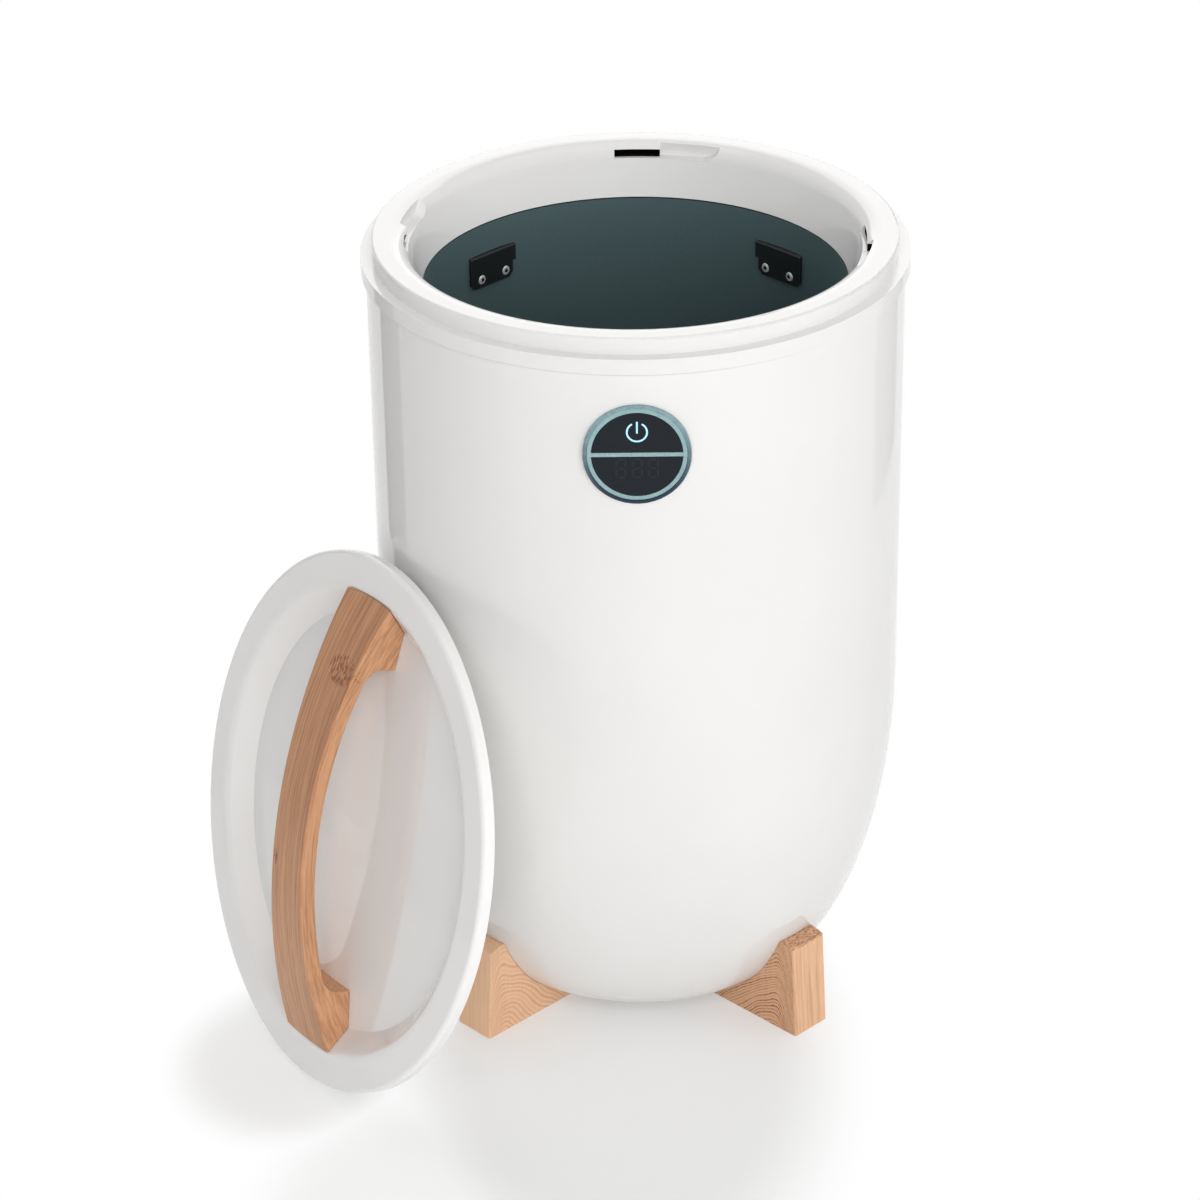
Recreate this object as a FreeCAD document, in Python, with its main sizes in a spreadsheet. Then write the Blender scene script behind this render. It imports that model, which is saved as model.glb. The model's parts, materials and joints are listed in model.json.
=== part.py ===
"""Bucket towel warmer with a lift-off lid, a round key panel and four wooden feet.

Millimetres, +Z up, front towards -Y. The origin lies on the floor under the body's axis.
Distances called "front", "back" or "reach" are measured outward from the body's axis.
The lid stands beside the body as it was put down: it leans on the shell, rim on the floor.
"""
import FreeCAD, Part
import math
import os

import Sketcher

# Every driving size: alias, value, what it measures. Angles are in degrees.
SIZES = (
    ("overrun", 5.0, "how far a cut runs past the faces it opens"),
    ("seat_gap", 0.2, "gap between curved faces that seat on each other"),
    ("hole_gap", 0.2, "radial gap round a screw shank"),
    # Outer shell
    ("mouth_radius", 124.5, "inside of the liner, and lower end of the funnel"),
    ("body_height", 488.0, "floor to the collar's flat top"),
    ("jacket_space", 32.8, "liner's inside to the shell's outside"),
    ("shell_wall", 3.0, "moulded wall"),
    ("shell_bend", 205.0, "height where the straight wall starts to curve in"),
    ("shell_floor", 10.5, "height of the flat underside"),
    ("base_opening_radius", 58.0, "service opening in the underside"),
    ("shell_flat_margin", 5.0, "flat underside beyond the foot screws"),
    # Collar
    ("collar_wall", 2.5, "moulded wall"),
    ("collar_skirt_drop", 9.2, "skirt below the ledge"),
    ("collar_ledge_width", 6.8, "ledge round the raised band"),
    ("collar_band_height", 9.8, "raised band above the ledge"),
    ("collar_edge_round", 1.4, "rounding of the band's top edge"),
    ("collar_flat_width", 9.7, "flat top"),
    ("collar_lip_round", 12.0, "rounding from the flat top into the funnel"),
    ("funnel_depth", 31.1, "flat top to the funnel's lower end"),
    ("mouth_lip", 2.8, "width of the funnel's lower lip"),
    ("funnel_back_inset", 4.0, "hidden side of the funnel, in from the flat top"),
    ("funnel_back_drop", 14.0, "flat top to where that side turns upright"),
    ("slot_left", 12.4, "lock slot, run to the left of its middle line"),
    ("slot_right", 15.5, "lock slot, run to the right"),
    ("slot_drop", 8.7, "flat top to the lock slot's floor"),
    ("slot_height", 4.6, "lock slot, floor to roof"),
    ("entry_inset", 5.2, "back of the open pocket, in from the flat top"),
    ("entry_length", 36.9, "pocket, from the slot to its far end at the top"),
    ("entry_ramp", 12.4, "rounding of the pocket's far end"),
    ("entry_drop", 8.9, "flat top to the pocket's floor"),
    # Liner and what surrounds it
    ("liner_wall", 1.0, "drawn sheet"),
    ("liner_floor", 75.0, "height of the liner's floor"),
    ("liner_corner", 12.0, "rounding between wall and floor"),
    ("liner_flange", 4.0, "turned-out edge at the mouth"),
    ("seal_height", 1.0, "seal between liner and funnel"),
    ("seal_inset", 0.7, "how far the seal stays back from the mouth"),
    ("heater_gap", 0.3, "gap between the liner and what is strapped on it"),
    ("heater_thick", 1.2, "heating band"),
    ("heater_rise", 50.0, "heating band above the liner's floor"),
    ("heater_drop", 57.9, "heating band below the liner's mouth"),
    ("jacket_thick", 8.5, "insulation jacket"),
    ("jacket_lap", 6.0, "jacket beyond the heating band at each end"),
    ("base_heater_gap", 1.5, "heater plate to the ring round it"),
    ("base_heater_thick", 3.5, "heater plate"),
    ("stand_offset", 12.5, "outside of the liner's ring, out from the base opening"),
    ("stand_wall", 3.0, "wall and flanges of that ring"),
    ("stand_flange", 5.0, "how far its flanges reach inward"),
    ("sensor_drop", 27.9, "thermostat, fuse and sensor below the liner's mouth"),
    ("thermostat_radius", 8.0, "mounting flange"),
    ("thermostat_flange", 2.0, "mounting flange, thickness"),
    ("thermostat_can_radius", 7.0, "body"),
    ("thermostat_depth", 8.0, "flange and body"),
    ("fuse_radius", 2.2, "thermal fuse body"),
    ("fuse_length", 14.0, "thermal fuse body"),
    ("fuse_lead_radius", 0.5, "lead"),
    ("fuse_lead_length", 9.0, "lead at each end"),
    ("sensor_width", 8.0, "sensor block"),
    ("sensor_length", 14.0, "sensor block with its round ends"),
    ("sensor_thick", 3.2, "sensor block"),
    # Clips on the liner wall
    ("clip_angle", 45.2, "each clip's angle from the back"),
    ("clip_width", 37.0, "clip across its ear"),
    ("clip_height", 20.5, "clip, top to bottom"),
    ("clip_drop", 39.2, "its lower edge below the funnel"),
    ("clip_depth", 3.4, "flat front, measured in from the liner wall"),
    ("clip_ear", 2.7, "ear beside the plate"),
    ("clip_ear_height", 10.5, "ear, top to bottom"),
    ("clip_corner", 3.0, "cut corners of the plate"),
    ("clip_lip", 0.8, "bevel along the top"),
    ("clip_screw_spread", 10.0, "each screw from the clip's middle"),
    ("clip_screw_rise", 5.0, "screws above the lower edge"),
    ("clip_screw_radius", 1.6, "shank"),
    ("clip_screw_head_radius", 2.8, "head"),
    ("clip_screw_head", 1.6, "head height"),
    ("clip_screw_sink", 1.3, "heads let into the plate"),
    ("clip_screw_socket_radius", 1.5, "socket in the head"),
    ("clip_screw_socket", 1.1, "socket depth"),
    ("clip_screw_end", 4.0, "shank beyond the liner wall"),
    # Panel
    ("panel_drop", 68.1, "collar's top to the panel's middle"),
    ("bezel_lap", 1.3, "bezel beyond its hole in the shell"),
    ("bezel_proud", 1.9, "bezel in front of the shell's wall"),
    ("bezel_round", 0.9, "rounding of its front edge"),
    ("bezel_sleeve", 0.6, "sleeve through the shell, thickness"),
    ("bezel_depth", 9.0, "bezel, front to back"),
    ("ring_inner_radius", 25.65, "inside of the pale ring"),
    ("ring_width", 2.35, "pale ring"),
    ("ring_recess", 0.7, "ring behind the bezel's front"),
    ("ring_thick", 2.0, "ring and divider"),
    ("divider", 2.36, "bar across the ring"),
    ("key_recess", 0.2, "key and lens behind the ring's front"),
    ("key_thick", 2.4, "key and lens"),
    ("key_gap", 0.3, "gap round the key"),
    ("lens_gap", 0.15, "gap round the lens"),
    ("key_travel", 1.2, "push of the key"),
    ("stem_radius", 2.6, "stem behind the key"),
    ("stem_length", 4.1, "stem behind the key"),
    ("stem_rise", 12.0, "stem and switch above the panel's middle"),
    ("stem_gap", 1.5, "gap between the stem and the switch"),
    ("switch_width", 6.2, "switch body"),
    ("switch_body", 2.6, "switch body, height over the board"),
    ("switch_cap_radius", 1.7, "switch cap"),
    ("switch_cap", 1.1, "switch cap"),
    ("board_thick", 1.6, "circuit boards"),
    ("board_gap", 0.3, "gap between board and housing"),
    ("housing_inset", 0.4, "panel housing, in from the pale ring's outside"),
    ("housing_wall", 1.6, "wall of the panel housing"),
    ("housing_shelf", 1.8, "shelf that carries the lens and stops the key"),
    ("housing_floor", 2.0, "floor of the panel housing"),
    ("digits_margin", 0.4, "display module's lower corners to the shelf"),
    ("digits_height", 14.0, "display module"),
    ("digits_depth", 6.4, "display module over the board"),
    ("digits_drop", 11.5, "display module below the panel's middle"),
    # Base
    ("cover_lap", 8.0, "flange of the base cover beyond its opening"),
    ("cover_thick", 2.5, "flange of the base cover"),
    ("cover_screw_offset", 4.0, "ring of cover screws, out from the opening"),
    ("cover_screw_radius", 1.6, "shank"),
    ("cover_screw_head_radius", 3.0, "head"),
    ("cover_screw_head", 1.6, "head height"),
    ("cover_screw_length", 9.0, "shank"),
    ("post_radius", 3.2, "posts that carry the power board"),
    ("post_height", 8.5, "posts above the shell's floor"),
    ("post_across", 36.0, "posts from the middle, across"),
    ("post_deep", 26.0, "posts from the middle, front to back"),
    ("post_edge", 7.0, "power board beyond its posts"),
    ("relay_width", 19.0, "power relay"),
    ("relay_depth", 15.5, "power relay"),
    ("relay_height", 15.3, "power relay"),
    ("relay_place", 20.0, "power relay, right of the middle"),
    ("terminal_width", 11.0, "terminal block"),
    ("terminal_depth", 24.0, "terminal block"),
    ("terminal_height", 12.0, "terminal block"),
    ("terminal_place", 26.0, "terminal block, left of the middle"),
    ("terminal_pitch", 6.0, "wire openings from the terminal block's middle"),
    ("terminal_way_radius", 2.0, "wire openings"),
    ("gland_height", 226.0, "cord gland at the back"),
    ("gland_radius", 9.5, "flange outside"),
    ("gland_thick", 3.0, "flange outside"),
    ("gland_neck_radius", 6.5, "neck through the wall"),
    ("gland_neck", 11.0, "neck behind the flange"),
    ("gland_bore_radius", 3.5, "way for the cord"),
    ("gland_round", 1.0, "rounding of the flange"),
    ("gland_nut_radius", 9.0, "locking nut inside"),
    ("gland_nut_thick", 4.0, "locking nut inside"),
    # Feet
    ("foot_inset", 10.9, "outer face at the floor, in from the shell's wall"),
    ("foot_draft", 3.4, "outer face, further in at its top"),
    ("foot_top", 60.5, "height of the outer face"),
    ("foot_facet", 8.5, "top facet, outer to inner edge"),
    ("foot_facet_rise", 2.0, "top facet"),
    ("foot_tip_gap", 4.0, "inner end to the base cover"),
    ("foot_width", 27.7, "block across"),
    ("foot_edge", 0.6, "broken edges of the outer face"),
    ("foot_screw_offset", 4.5, "screws, out from the liner's ring"),
    ("foot_screw_spread", 7.0, "each screw from the foot's middle"),
    ("foot_screw_radius", 1.9, "shank"),
    ("foot_screw_head_radius", 3.4, "head"),
    ("foot_screw_head", 1.8, "head height"),
    ("foot_screw_depth", 7.0, "shank in the foot"),
    # Lid
    ("lid_overhang", 1.5, "skirt beyond the collar"),
    ("lid_skirt", 7.5, "skirt, rim to lower edge"),
    ("lid_wall", 2.6, "moulded wall"),
    ("lid_edge_round", 2.8, "rounding of the outer edge"),
    ("dish_inset", 3.5, "dish at the rim, in from the collar's flat top"),
    ("dish_slant", 14.0, "dish narrower at its floor"),
    ("dish_depth", 12.5, "dish at its floor's edge"),
    ("dish_dome", 4.5, "rise of the floor's middle"),
    ("dish_edge", 9.0, "rounding where the rim turns into the dish"),
    ("lug_gap", 0.5, "lock lug to the slot's floor and roof"),
    ("lug_entry_gap", 1.5, "lock lug to the back of the open pocket"),
    ("lug_sweep", 10.5, "angle that a lug covers"),
    ("pan_inset", 6.5, "inner pan at its lower edge, in from the mouth"),
    ("pan_flare", 3.0, "inner pan wider at the top"),
    ("pan_depth", 25.7, "inner pan's underside below the rim"),
    ("pan_wall", 2.0, "inner pan"),
    ("pan_post_radius", 5.0, "posts that carry the pan"),
    ("pan_post_inset", 19.0, "posts, in from the foam's edge"),
    ("pan_screw_radius", 1.5, "shank"),
    ("pan_screw_head_radius", 3.0, "head"),
    ("pan_screw_head", 1.6, "head height"),
    ("pan_screw_length", 9.0, "shank"),
    ("foam_inset", 15.0, "lid insulation, in from the pan's lower edge"),
    ("foam_gap", 1.1, "lid insulation below the dish"),
    ("gasket_inset", 1.0, "gasket to each edge of the collar's flat top"),
    ("gasket_thick", 2.0, "gasket"),
    # Handle
    ("handle_turn", 6.7, "turn of the handle about the lid's axis"),
    ("handle_end_gap", 0.5, "its end to the dish at the rim"),
    ("handle_rise", 32.5, "top of the arch over the rim"),
    ("handle_thick", 9.8, "thickness at the middle"),
    ("handle_waist", 35.0, "width at the middle"),
    ("handle_width", 52.2, "width at the ends of its blank"),
    ("handle_leg", 39.0, "each leg, along the handle"),
    ("handle_crook", 12.0, "rounding between arch and leg"),
    ("handle_edge", 0.8, "broken long edges"),
    ("handle_gap", 0.3, "gap to the dish"),
    ("handle_screw_inset", 11.5, "screws from the leg's inner face"),
    ("handle_screw_spread", 12.0, "screws from the middle, across"),
    ("handle_screw_radius", 2.2, "shank"),
    ("handle_screw_head_radius", 3.6, "head"),
    ("handle_screw_head", 2.0, "head height"),
    ("handle_screw_length", 12.5, "shank"),
    # Where the lid stands
    ("lid_lean", 15.02, "lean from upright"),
    ("lid_bearing", 58.59, "direction that it faces, from the front to the left"),
    ("lid_sideways", 4.25, "shift along the floor, across that direction"),
    ("lean_gap", 0.3, "gap between the pan's edge and the shell"),
)
FOOT_COUNT = 4
LOCK_COUNT = 4
COVER_SCREW_COUNT = 4
PAN_POST_COUNT = 4
FULL_TURN = 360
QUARTER_TURN = 90
HALF_QUARTER = 45
LEFT, RIGHT = 1, -1
SIDES = (1, -1)
LONG_EDGE_SHARE = 0.9

document = FreeCAD.newDocument("towel_warmer")
sheet = document.addObject("Spreadsheet::Sheet", "Sizes")


class Dim:
    """A size: its value and the sheet formula that it comes from."""

    def __init__(self, value, formula):
        self.value = float(value)
        self.formula = formula

    def __add__(self, other):
        other = as_dim(other)
        return Dim(self.value + other.value, f"({self.formula} + {other.formula})")

    def __sub__(self, other):
        other = as_dim(other)
        return Dim(self.value - other.value, f"({self.formula} - {other.formula})")

    def __mul__(self, other):
        other = as_dim(other)
        return Dim(self.value * other.value, f"({self.formula} * {other.formula})")

    def __truediv__(self, other):
        other = as_dim(other)
        return Dim(self.value / other.value, f"({self.formula} / {other.formula})")

    def __neg__(self):
        return Dim(-self.value, f"(0 - {self.formula})")

    __rmul__ = __mul__


def as_dim(number):
    """A plain number, such as zero or a share, as a size."""
    return number if isinstance(number, Dim) else Dim(number, repr(number))


def root(square):
    """The square root of a size."""
    return Dim(math.sqrt(square.value), f"sqrt({square.formula})")


def sine(angle):
    """The sine of an angle in degrees."""
    return Dim(math.sin(math.radians(angle.value)), f"sin({angle.formula} * 1 deg)")


def cosine(angle):
    """The cosine of an angle in degrees."""
    return Dim(math.cos(math.radians(angle.value)), f"cos({angle.formula} * 1 deg)")


def bow_radius(half_chord, rise):
    """The radius of an arc with this half chord and rise."""
    return (half_chord * half_chord + rise * rise) / (rise * 2)


class SizeTable:
    """The sheet's sizes, each read by its alias."""

    def __init__(self, rows):
        for row, (alias, value, note) in enumerate(rows, start=1):
            sheet.set(f"A{row}", alias)
            sheet.set(f"B{row}", str(value))
            sheet.set(f"C{row}", note)
            sheet.setAlias(f"B{row}", alias)
            setattr(self, alias, Dim(value, f"{sheet.Name}.{alias}"))


size = SizeTable(SIZES)
document.recompute()
ZERO = Dim(0, "0")


class Outline:
    """A sketch whose corners and radii are tied to the sheet."""

    def __init__(self, sketch):
        self.sketch = sketch
        self.edges = []
        self.first = None
        self.here = None

    def _bind(self, constraint, formula):
        index = self.sketch.addConstraint(constraint)
        self.sketch.setExpression(f"Constraints[{index}]", formula)

    def _pin(self, edge, point, across, up):
        """Ties one point of an edge to its place in the sheet."""
        for kind, axis, place in (("DistanceX", -2, across), ("DistanceY", -1, up)):
            if place.value == 0:
                self.sketch.addConstraint(Sketcher.Constraint("PointOnObject", edge, point, axis))
            else:
                self._bind(Sketcher.Constraint(kind, -1, 1, edge, point, place.value), place.formula)

    def _add(self, curve, across, up, forward):
        """Adds an edge that runs from here to a new corner."""
        edge = self.sketch.addGeometry(curve, False)
        begin, end = (1, 2) if forward else (2, 1)
        if self.edges:
            last, last_end = self.edges[-1][0], self.edges[-1][2]
            self.sketch.addConstraint(Sketcher.Constraint("Coincident", last, last_end, edge, begin))
        self.edges.append((edge, begin, end))
        self._pin(edge, begin, *self.here)
        self.here = (across, up)
        return edge

    def start(self, across, up):
        self.first = self.here = (as_dim(across), as_dim(up))
        self.edges = []
        return self

    def line(self, across, up):
        across, up = as_dim(across), as_dim(up)
        self._add(Part.LineSegment(flat(*self.here), flat(across, up)), across, up, True)
        return self

    def arc(self, across, up, radius, turn):
        """A circular arc of less than a half turn, curving to the LEFT or RIGHT."""
        across, up = as_dim(across), as_dim(up)
        begin, end = flat(*self.here), flat(across, up)
        chord = end - begin
        side = FreeCAD.Vector(-chord.y, chord.x, 0).normalize()
        sag = math.sqrt(max(radius.value**2 - (chord.Length / 2) ** 2, 0))
        centre = begin + chord * 0.5 + side * (sag * turn)
        ends = [math.atan2(p.y - centre.y, p.x - centre.x) for p in (begin, end)]
        low, high = ends if turn == LEFT else reversed(ends)
        high += 2 * math.pi if high < low else 0
        circle = Part.Circle(centre, FreeCAD.Vector(0, 0, 1), radius.value)
        edge = self._add(Part.ArcOfCircle(circle, low, high), across, up, turn == LEFT)
        self._bind(Sketcher.Constraint("Radius", edge, radius.value), radius.formula)
        return self

    def ellipse(self, across, up, middle_across, middle_up):
        """A quarter of an upright ellipse about a middle, below and to the right of it."""
        across, up = as_dim(across), as_dim(up)
        begin, end, middle = flat(*self.here), flat(across, up), flat(middle_across, middle_up)
        forward = abs(begin.x - middle.x) < abs(end.x - middle.x)
        low, side = (begin, end) if forward else (end, begin)
        curve = Part.Ellipse(low, side, middle)
        quarter = Part.ArcOfEllipse(curve, curve.parameter(low), curve.parameter(side))
        edge = self._add(quarter, across, up, forward)
        self._pin(edge, 3, middle_across, middle_up)
        axis = self.sketch.GeometryCount
        self.sketch.exposeInternalGeometry(edge)
        self.sketch.addConstraint(Sketcher.Constraint("Vertical", axis))
        return self

    def close(self):
        """A straight edge back to the first corner."""
        self.line(*self.first)
        last, begin = self.edges[-1], self.edges[0]
        self.sketch.addConstraint(Sketcher.Constraint("Coincident", last[0], last[2], begin[0], begin[1]))
        return self

    def box(self, left, low, right, high):
        """A closed rectangle."""
        self.start(left, low).line(right, low).line(right, high).line(left, high)
        return self.close()

    def circle(self, across, up, radius):
        across, up = as_dim(across), as_dim(up)
        ring = Part.Circle(flat(across, up), FreeCAD.Vector(0, 0, 1), radius.value)
        edge = self.sketch.addGeometry(ring, False)
        self._pin(edge, 3, across, up)
        self._bind(Sketcher.Constraint("Radius", edge, radius.value), radius.formula)
        return self


def flat(across, up):
    """A point in a sketch's plane."""
    return FreeCAD.Vector(across.value, up.value, 0)


class Piece:
    """One sub-part: a body named after its node, with the features that make it."""

    made = []

    def __init__(self, name, placement=None, kept=True):
        self.body = document.addObject("PartDesign::Body", name)
        self.body.Label = name
        self.body.AllowCompound = True
        if placement is not None:
            self.body.Placement = placement
        if kept:
            Piece.made.append(self.body)

    def _origin(self, role):
        return next(o for o in self.body.Origin.OriginFeatures if o.Role == role)

    def sketch(self, plane, shift=(0, 0, 0), turn=None, about=(0, 0, 1)):
        """A sketch on an origin plane, moved and then turned in that plane's own axes."""
        sketch = self.body.newObject("Sketcher::SketchObject", f"{self.body.Name}_sketch")
        sketch.AttachmentSupport = [(self._origin(plane), "")]
        sketch.MapMode = "FlatFace"
        shift = [as_dim(s) for s in shift]
        angle = ZERO if turn is None else turn
        rotation = FreeCAD.Rotation(FreeCAD.Vector(*about), angle.value)
        sketch.AttachmentOffset = FreeCAD.Placement(FreeCAD.Vector(*(s.value for s in shift)), rotation)
        for letter, part in zip("xyz", shift):
            if part.value != 0:
                sketch.setExpression(f"AttachmentOffset.Base.{letter}", part.formula)
        if turn is not None:
            sketch.setExpression("AttachmentOffset.Rotation.Angle", turn.formula)
        return Outline(sketch)

    def spoke(self, angle, sideways, height):
        """A sketch whose horizontal axis points outward from the body's axis at an angle."""
        shift = (-(sine(angle) * sideways), cosine(angle) * sideways, height)
        return self.sketch("XY_Plane", shift, angle)

    def _feature(self, kind, outline, adds):
        before = self.body.Shape.Volume if self.body.Tip else 0.0
        feature = self.body.newObject(f"PartDesign::{kind}", f"{self.body.Name}_{kind.lower()}")
        feature.Profile = outline.sketch
        outline.sketch.Visibility = False
        return feature, before, adds

    def _settle(self, feature, before, adds):
        document.recompute()
        after = self.body.Shape.Volume
        if adds and not after > before or not adds and not after < before:
            raise RuntimeError(f"{feature.Name} changed nothing: {before:.1f} to {after:.1f}")
        return feature

    def _turned(self, kind, outline, axis, angle, reverse, adds):
        feature, before, adds = self._feature(kind, outline, adds)
        feature.ReferenceAxis = (outline.sketch, [axis])
        feature.Reversed = reverse
        if angle is None:
            feature.Angle = FULL_TURN
        else:
            feature.Angle = angle.value
            feature.setExpression("Angle", angle.formula)
        return self._settle(feature, before, adds)

    def revolve(self, outline, axis="V_Axis", angle=None, reverse=False):
        return self._turned("Revolution", outline, axis, angle, reverse, True)

    def groove(self, outline, axis="V_Axis", angle=None, reverse=False):
        return self._turned("Groove", outline, axis, angle, reverse, False)

    def _pushed(self, kind, outline, length, reverse, both, adds):
        feature, before, adds = self._feature(kind, outline, adds)
        feature.Length = length.value
        feature.setExpression("Length", length.formula)
        feature.Reversed = reverse
        if both:
            feature.SideType = "Symmetric"
        return self._settle(feature, before, adds)

    def pad(self, outline, length, reverse=False, both=False):
        return self._pushed("Pad", outline, length, reverse, both, True)

    def pocket(self, outline, length, reverse=False, both=False):
        return self._pushed("Pocket", outline, length, reverse, both, False)

    def cut_with(self, tool):
        """Removes what another piece fills."""
        before = self.body.Shape.Volume
        feature = self.body.newObject("PartDesign::Boolean", f"{self.body.Name}_cut")
        feature.Type = "Cut"
        feature.setObjects([tool.body])
        return self._settle(feature, before, False)

    def repeat(self, features, count):
        """Copies features evenly round the body's Z axis."""
        pattern = self.body.newObject("PartDesign::PolarPattern", f"{self.body.Name}_pattern")
        pattern.Originals = features
        pattern.Axis = (self._origin("Z_Axis"), [""])
        pattern.Angle = FULL_TURN
        pattern.Occurrences = count
        self.body.Tip = pattern
        document.recompute()
        return pattern

    def soften(self, kind, amount, chosen):
        """A Fillet or Chamfer on the edges that a test chooses."""
        base = self.body.Tip
        names = [f"Edge{i}" for i, edge in enumerate(base.Shape.Edges, start=1) if chosen(edge)]
        if not names:
            raise RuntimeError(f"{self.body.Label} has no edge to soften")
        feature = self.body.newObject(f"PartDesign::{kind}", f"{self.body.Name}_{kind.lower()}")
        feature.Base = (base, names)
        target = "Radius" if kind == "Fillet" else "Size"
        setattr(feature, target, amount.value)
        feature.setExpression(target, amount.formula)
        self.body.Tip = feature
        document.recompute()
        return feature


def turned_by(angle):
    """A placement turned about the body's axis."""
    return FreeCAD.Placement(FreeCAD.Vector(), FreeCAD.Rotation(FreeCAD.Vector(0, 0, 1), angle))


# Places that several pieces share
shell_radius = size.mouth_radius + size.jacket_space
shell_inside = shell_radius - size.shell_wall
floor_inside = size.shell_floor + size.shell_wall
collar_radius = shell_radius + size.seat_gap + size.collar_wall
collar_ledge = size.body_height - size.collar_band_height
band_radius = collar_radius - size.collar_ledge_width
flat_radius = band_radius - size.collar_flat_width
mouth_height = size.body_height - size.funnel_depth
skirt_bottom = collar_ledge - size.collar_skirt_drop
shell_top = collar_ledge - size.collar_wall
entry_radius = flat_radius - size.entry_inset
liner_outside = size.mouth_radius + size.liner_wall
liner_mouth = mouth_height - size.seal_height
liner_under = size.liner_floor - size.liner_wall
heater_inside = liner_outside + size.heater_gap
heater_outside = heater_inside + size.heater_thick
sensor_height = liner_mouth - size.sensor_drop
panel_height = size.body_height - size.panel_drop
ring_radius = size.ring_inner_radius + size.ring_width
bezel_front = shell_radius + size.bezel_proud
bezel_sleeve_inside = ring_radius + size.hole_gap
bezel_sleeve_outside = bezel_sleeve_inside + size.bezel_sleeve
bezel_radius = bezel_sleeve_outside + size.hole_gap + size.bezel_lap
ring_front = bezel_front - size.ring_recess
ring_back = ring_front - size.ring_thick
key_front = ring_front - size.key_recess
key_back = key_front - size.key_thick
switch_top = key_back - size.stem_length - size.stem_gap
board_front = switch_top - size.switch_cap - size.switch_body
board_back = board_front - size.board_thick
housing_radius = ring_radius - size.housing_inset
housing_inside = housing_radius - size.housing_wall
shelf_inside = housing_inside - size.housing_shelf
cover_under = size.shell_floor - size.cover_thick
cover_radius = size.base_opening_radius + size.cover_lap
cover_screw_pitch = size.base_opening_radius + size.cover_screw_offset
stand_radius = size.base_opening_radius + size.stand_offset
foot_screw_pitch = stand_radius + size.foot_screw_offset
shell_floor_radius = foot_screw_pitch + size.shell_flat_margin
power_board_low = floor_inside + size.post_height
power_board_high = power_board_low + size.board_thick
gland_seat = shell_radius + size.seat_gap
clip_front = size.mouth_radius - size.clip_depth
clip_bottom = mouth_height - size.clip_drop
clip_screw_height = clip_bottom + size.clip_screw_rise
half_divider = size.divider / 2
foot_start = Dim(HALF_QUARTER, str(HALF_QUARTER))
lid_radius = collar_radius + size.lid_overhang
dish_radius = flat_radius - size.dish_inset
dish_floor_radius = dish_radius - size.dish_slant
under_floor = size.dish_depth + size.lid_wall
pan_radius = size.mouth_radius - size.pan_inset
pan_floor = size.pan_depth - size.pan_wall
foam_radius = pan_radius - size.foam_inset
pan_post_pitch = foam_radius - size.pan_post_inset
handle_reach = dish_radius - size.handle_end_gap
leg_face = handle_reach - size.handle_leg
handle_screw_place = leg_face + size.handle_screw_inset


def shell_profile(outline, grow):
    """From the flat underside out and up to the end of the curve, moved out by grow."""
    under = size.shell_floor - grow
    outline.line(shell_floor_radius, under)
    return outline.ellipse(
        shell_radius + grow, size.shell_bend, shell_floor_radius, size.shell_bend
    )


def make_outer_shell():
    """White bucket: straight wall, elliptical lower curve, flat underside with an opening."""
    shell = Piece("outer_shell")
    wall = shell.sketch("XZ_Plane").start(size.base_opening_radius, size.shell_floor)
    shell_profile(wall, ZERO)
    wall.line(shell_radius, shell_top)
    wall.line(shell_inside, shell_top)
    wall.line(shell_inside, size.shell_bend)
    wall.ellipse(shell_floor_radius, floor_inside, shell_floor_radius, size.shell_bend)
    wall.line(size.base_opening_radius, floor_inside).close()
    shell.revolve(wall)
    panel = shell.sketch("XZ_Plane")
    panel.circle(ZERO, panel_height, bezel_sleeve_outside + size.hole_gap)
    shell.pocket(panel, shell_radius + size.overrun, reverse=True)
    gland = shell.sketch("XZ_Plane")
    gland.circle(ZERO, size.gland_height, size.gland_neck_radius + size.hole_gap)
    shell.pocket(gland, shell_radius + size.overrun)
    cover = shell.sketch("XY_Plane")
    cover.circle(cover_screw_pitch, ZERO, size.cover_screw_radius + size.hole_gap)
    cover_hole = shell.pocket(cover, floor_inside + size.overrun, reverse=True)
    shell.repeat([cover_hole], COVER_SCREW_COUNT)
    feet = shell.sketch("XY_Plane", turn=foot_start)
    for side in SIDES:
        spread = size.foot_screw_spread * side
        feet.circle(foot_screw_pitch, spread, size.foot_screw_radius + size.hole_gap)
    foot_holes = shell.pocket(feet, floor_inside + size.overrun, reverse=True)
    shell.repeat([foot_holes], FOOT_COUNT)


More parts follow.
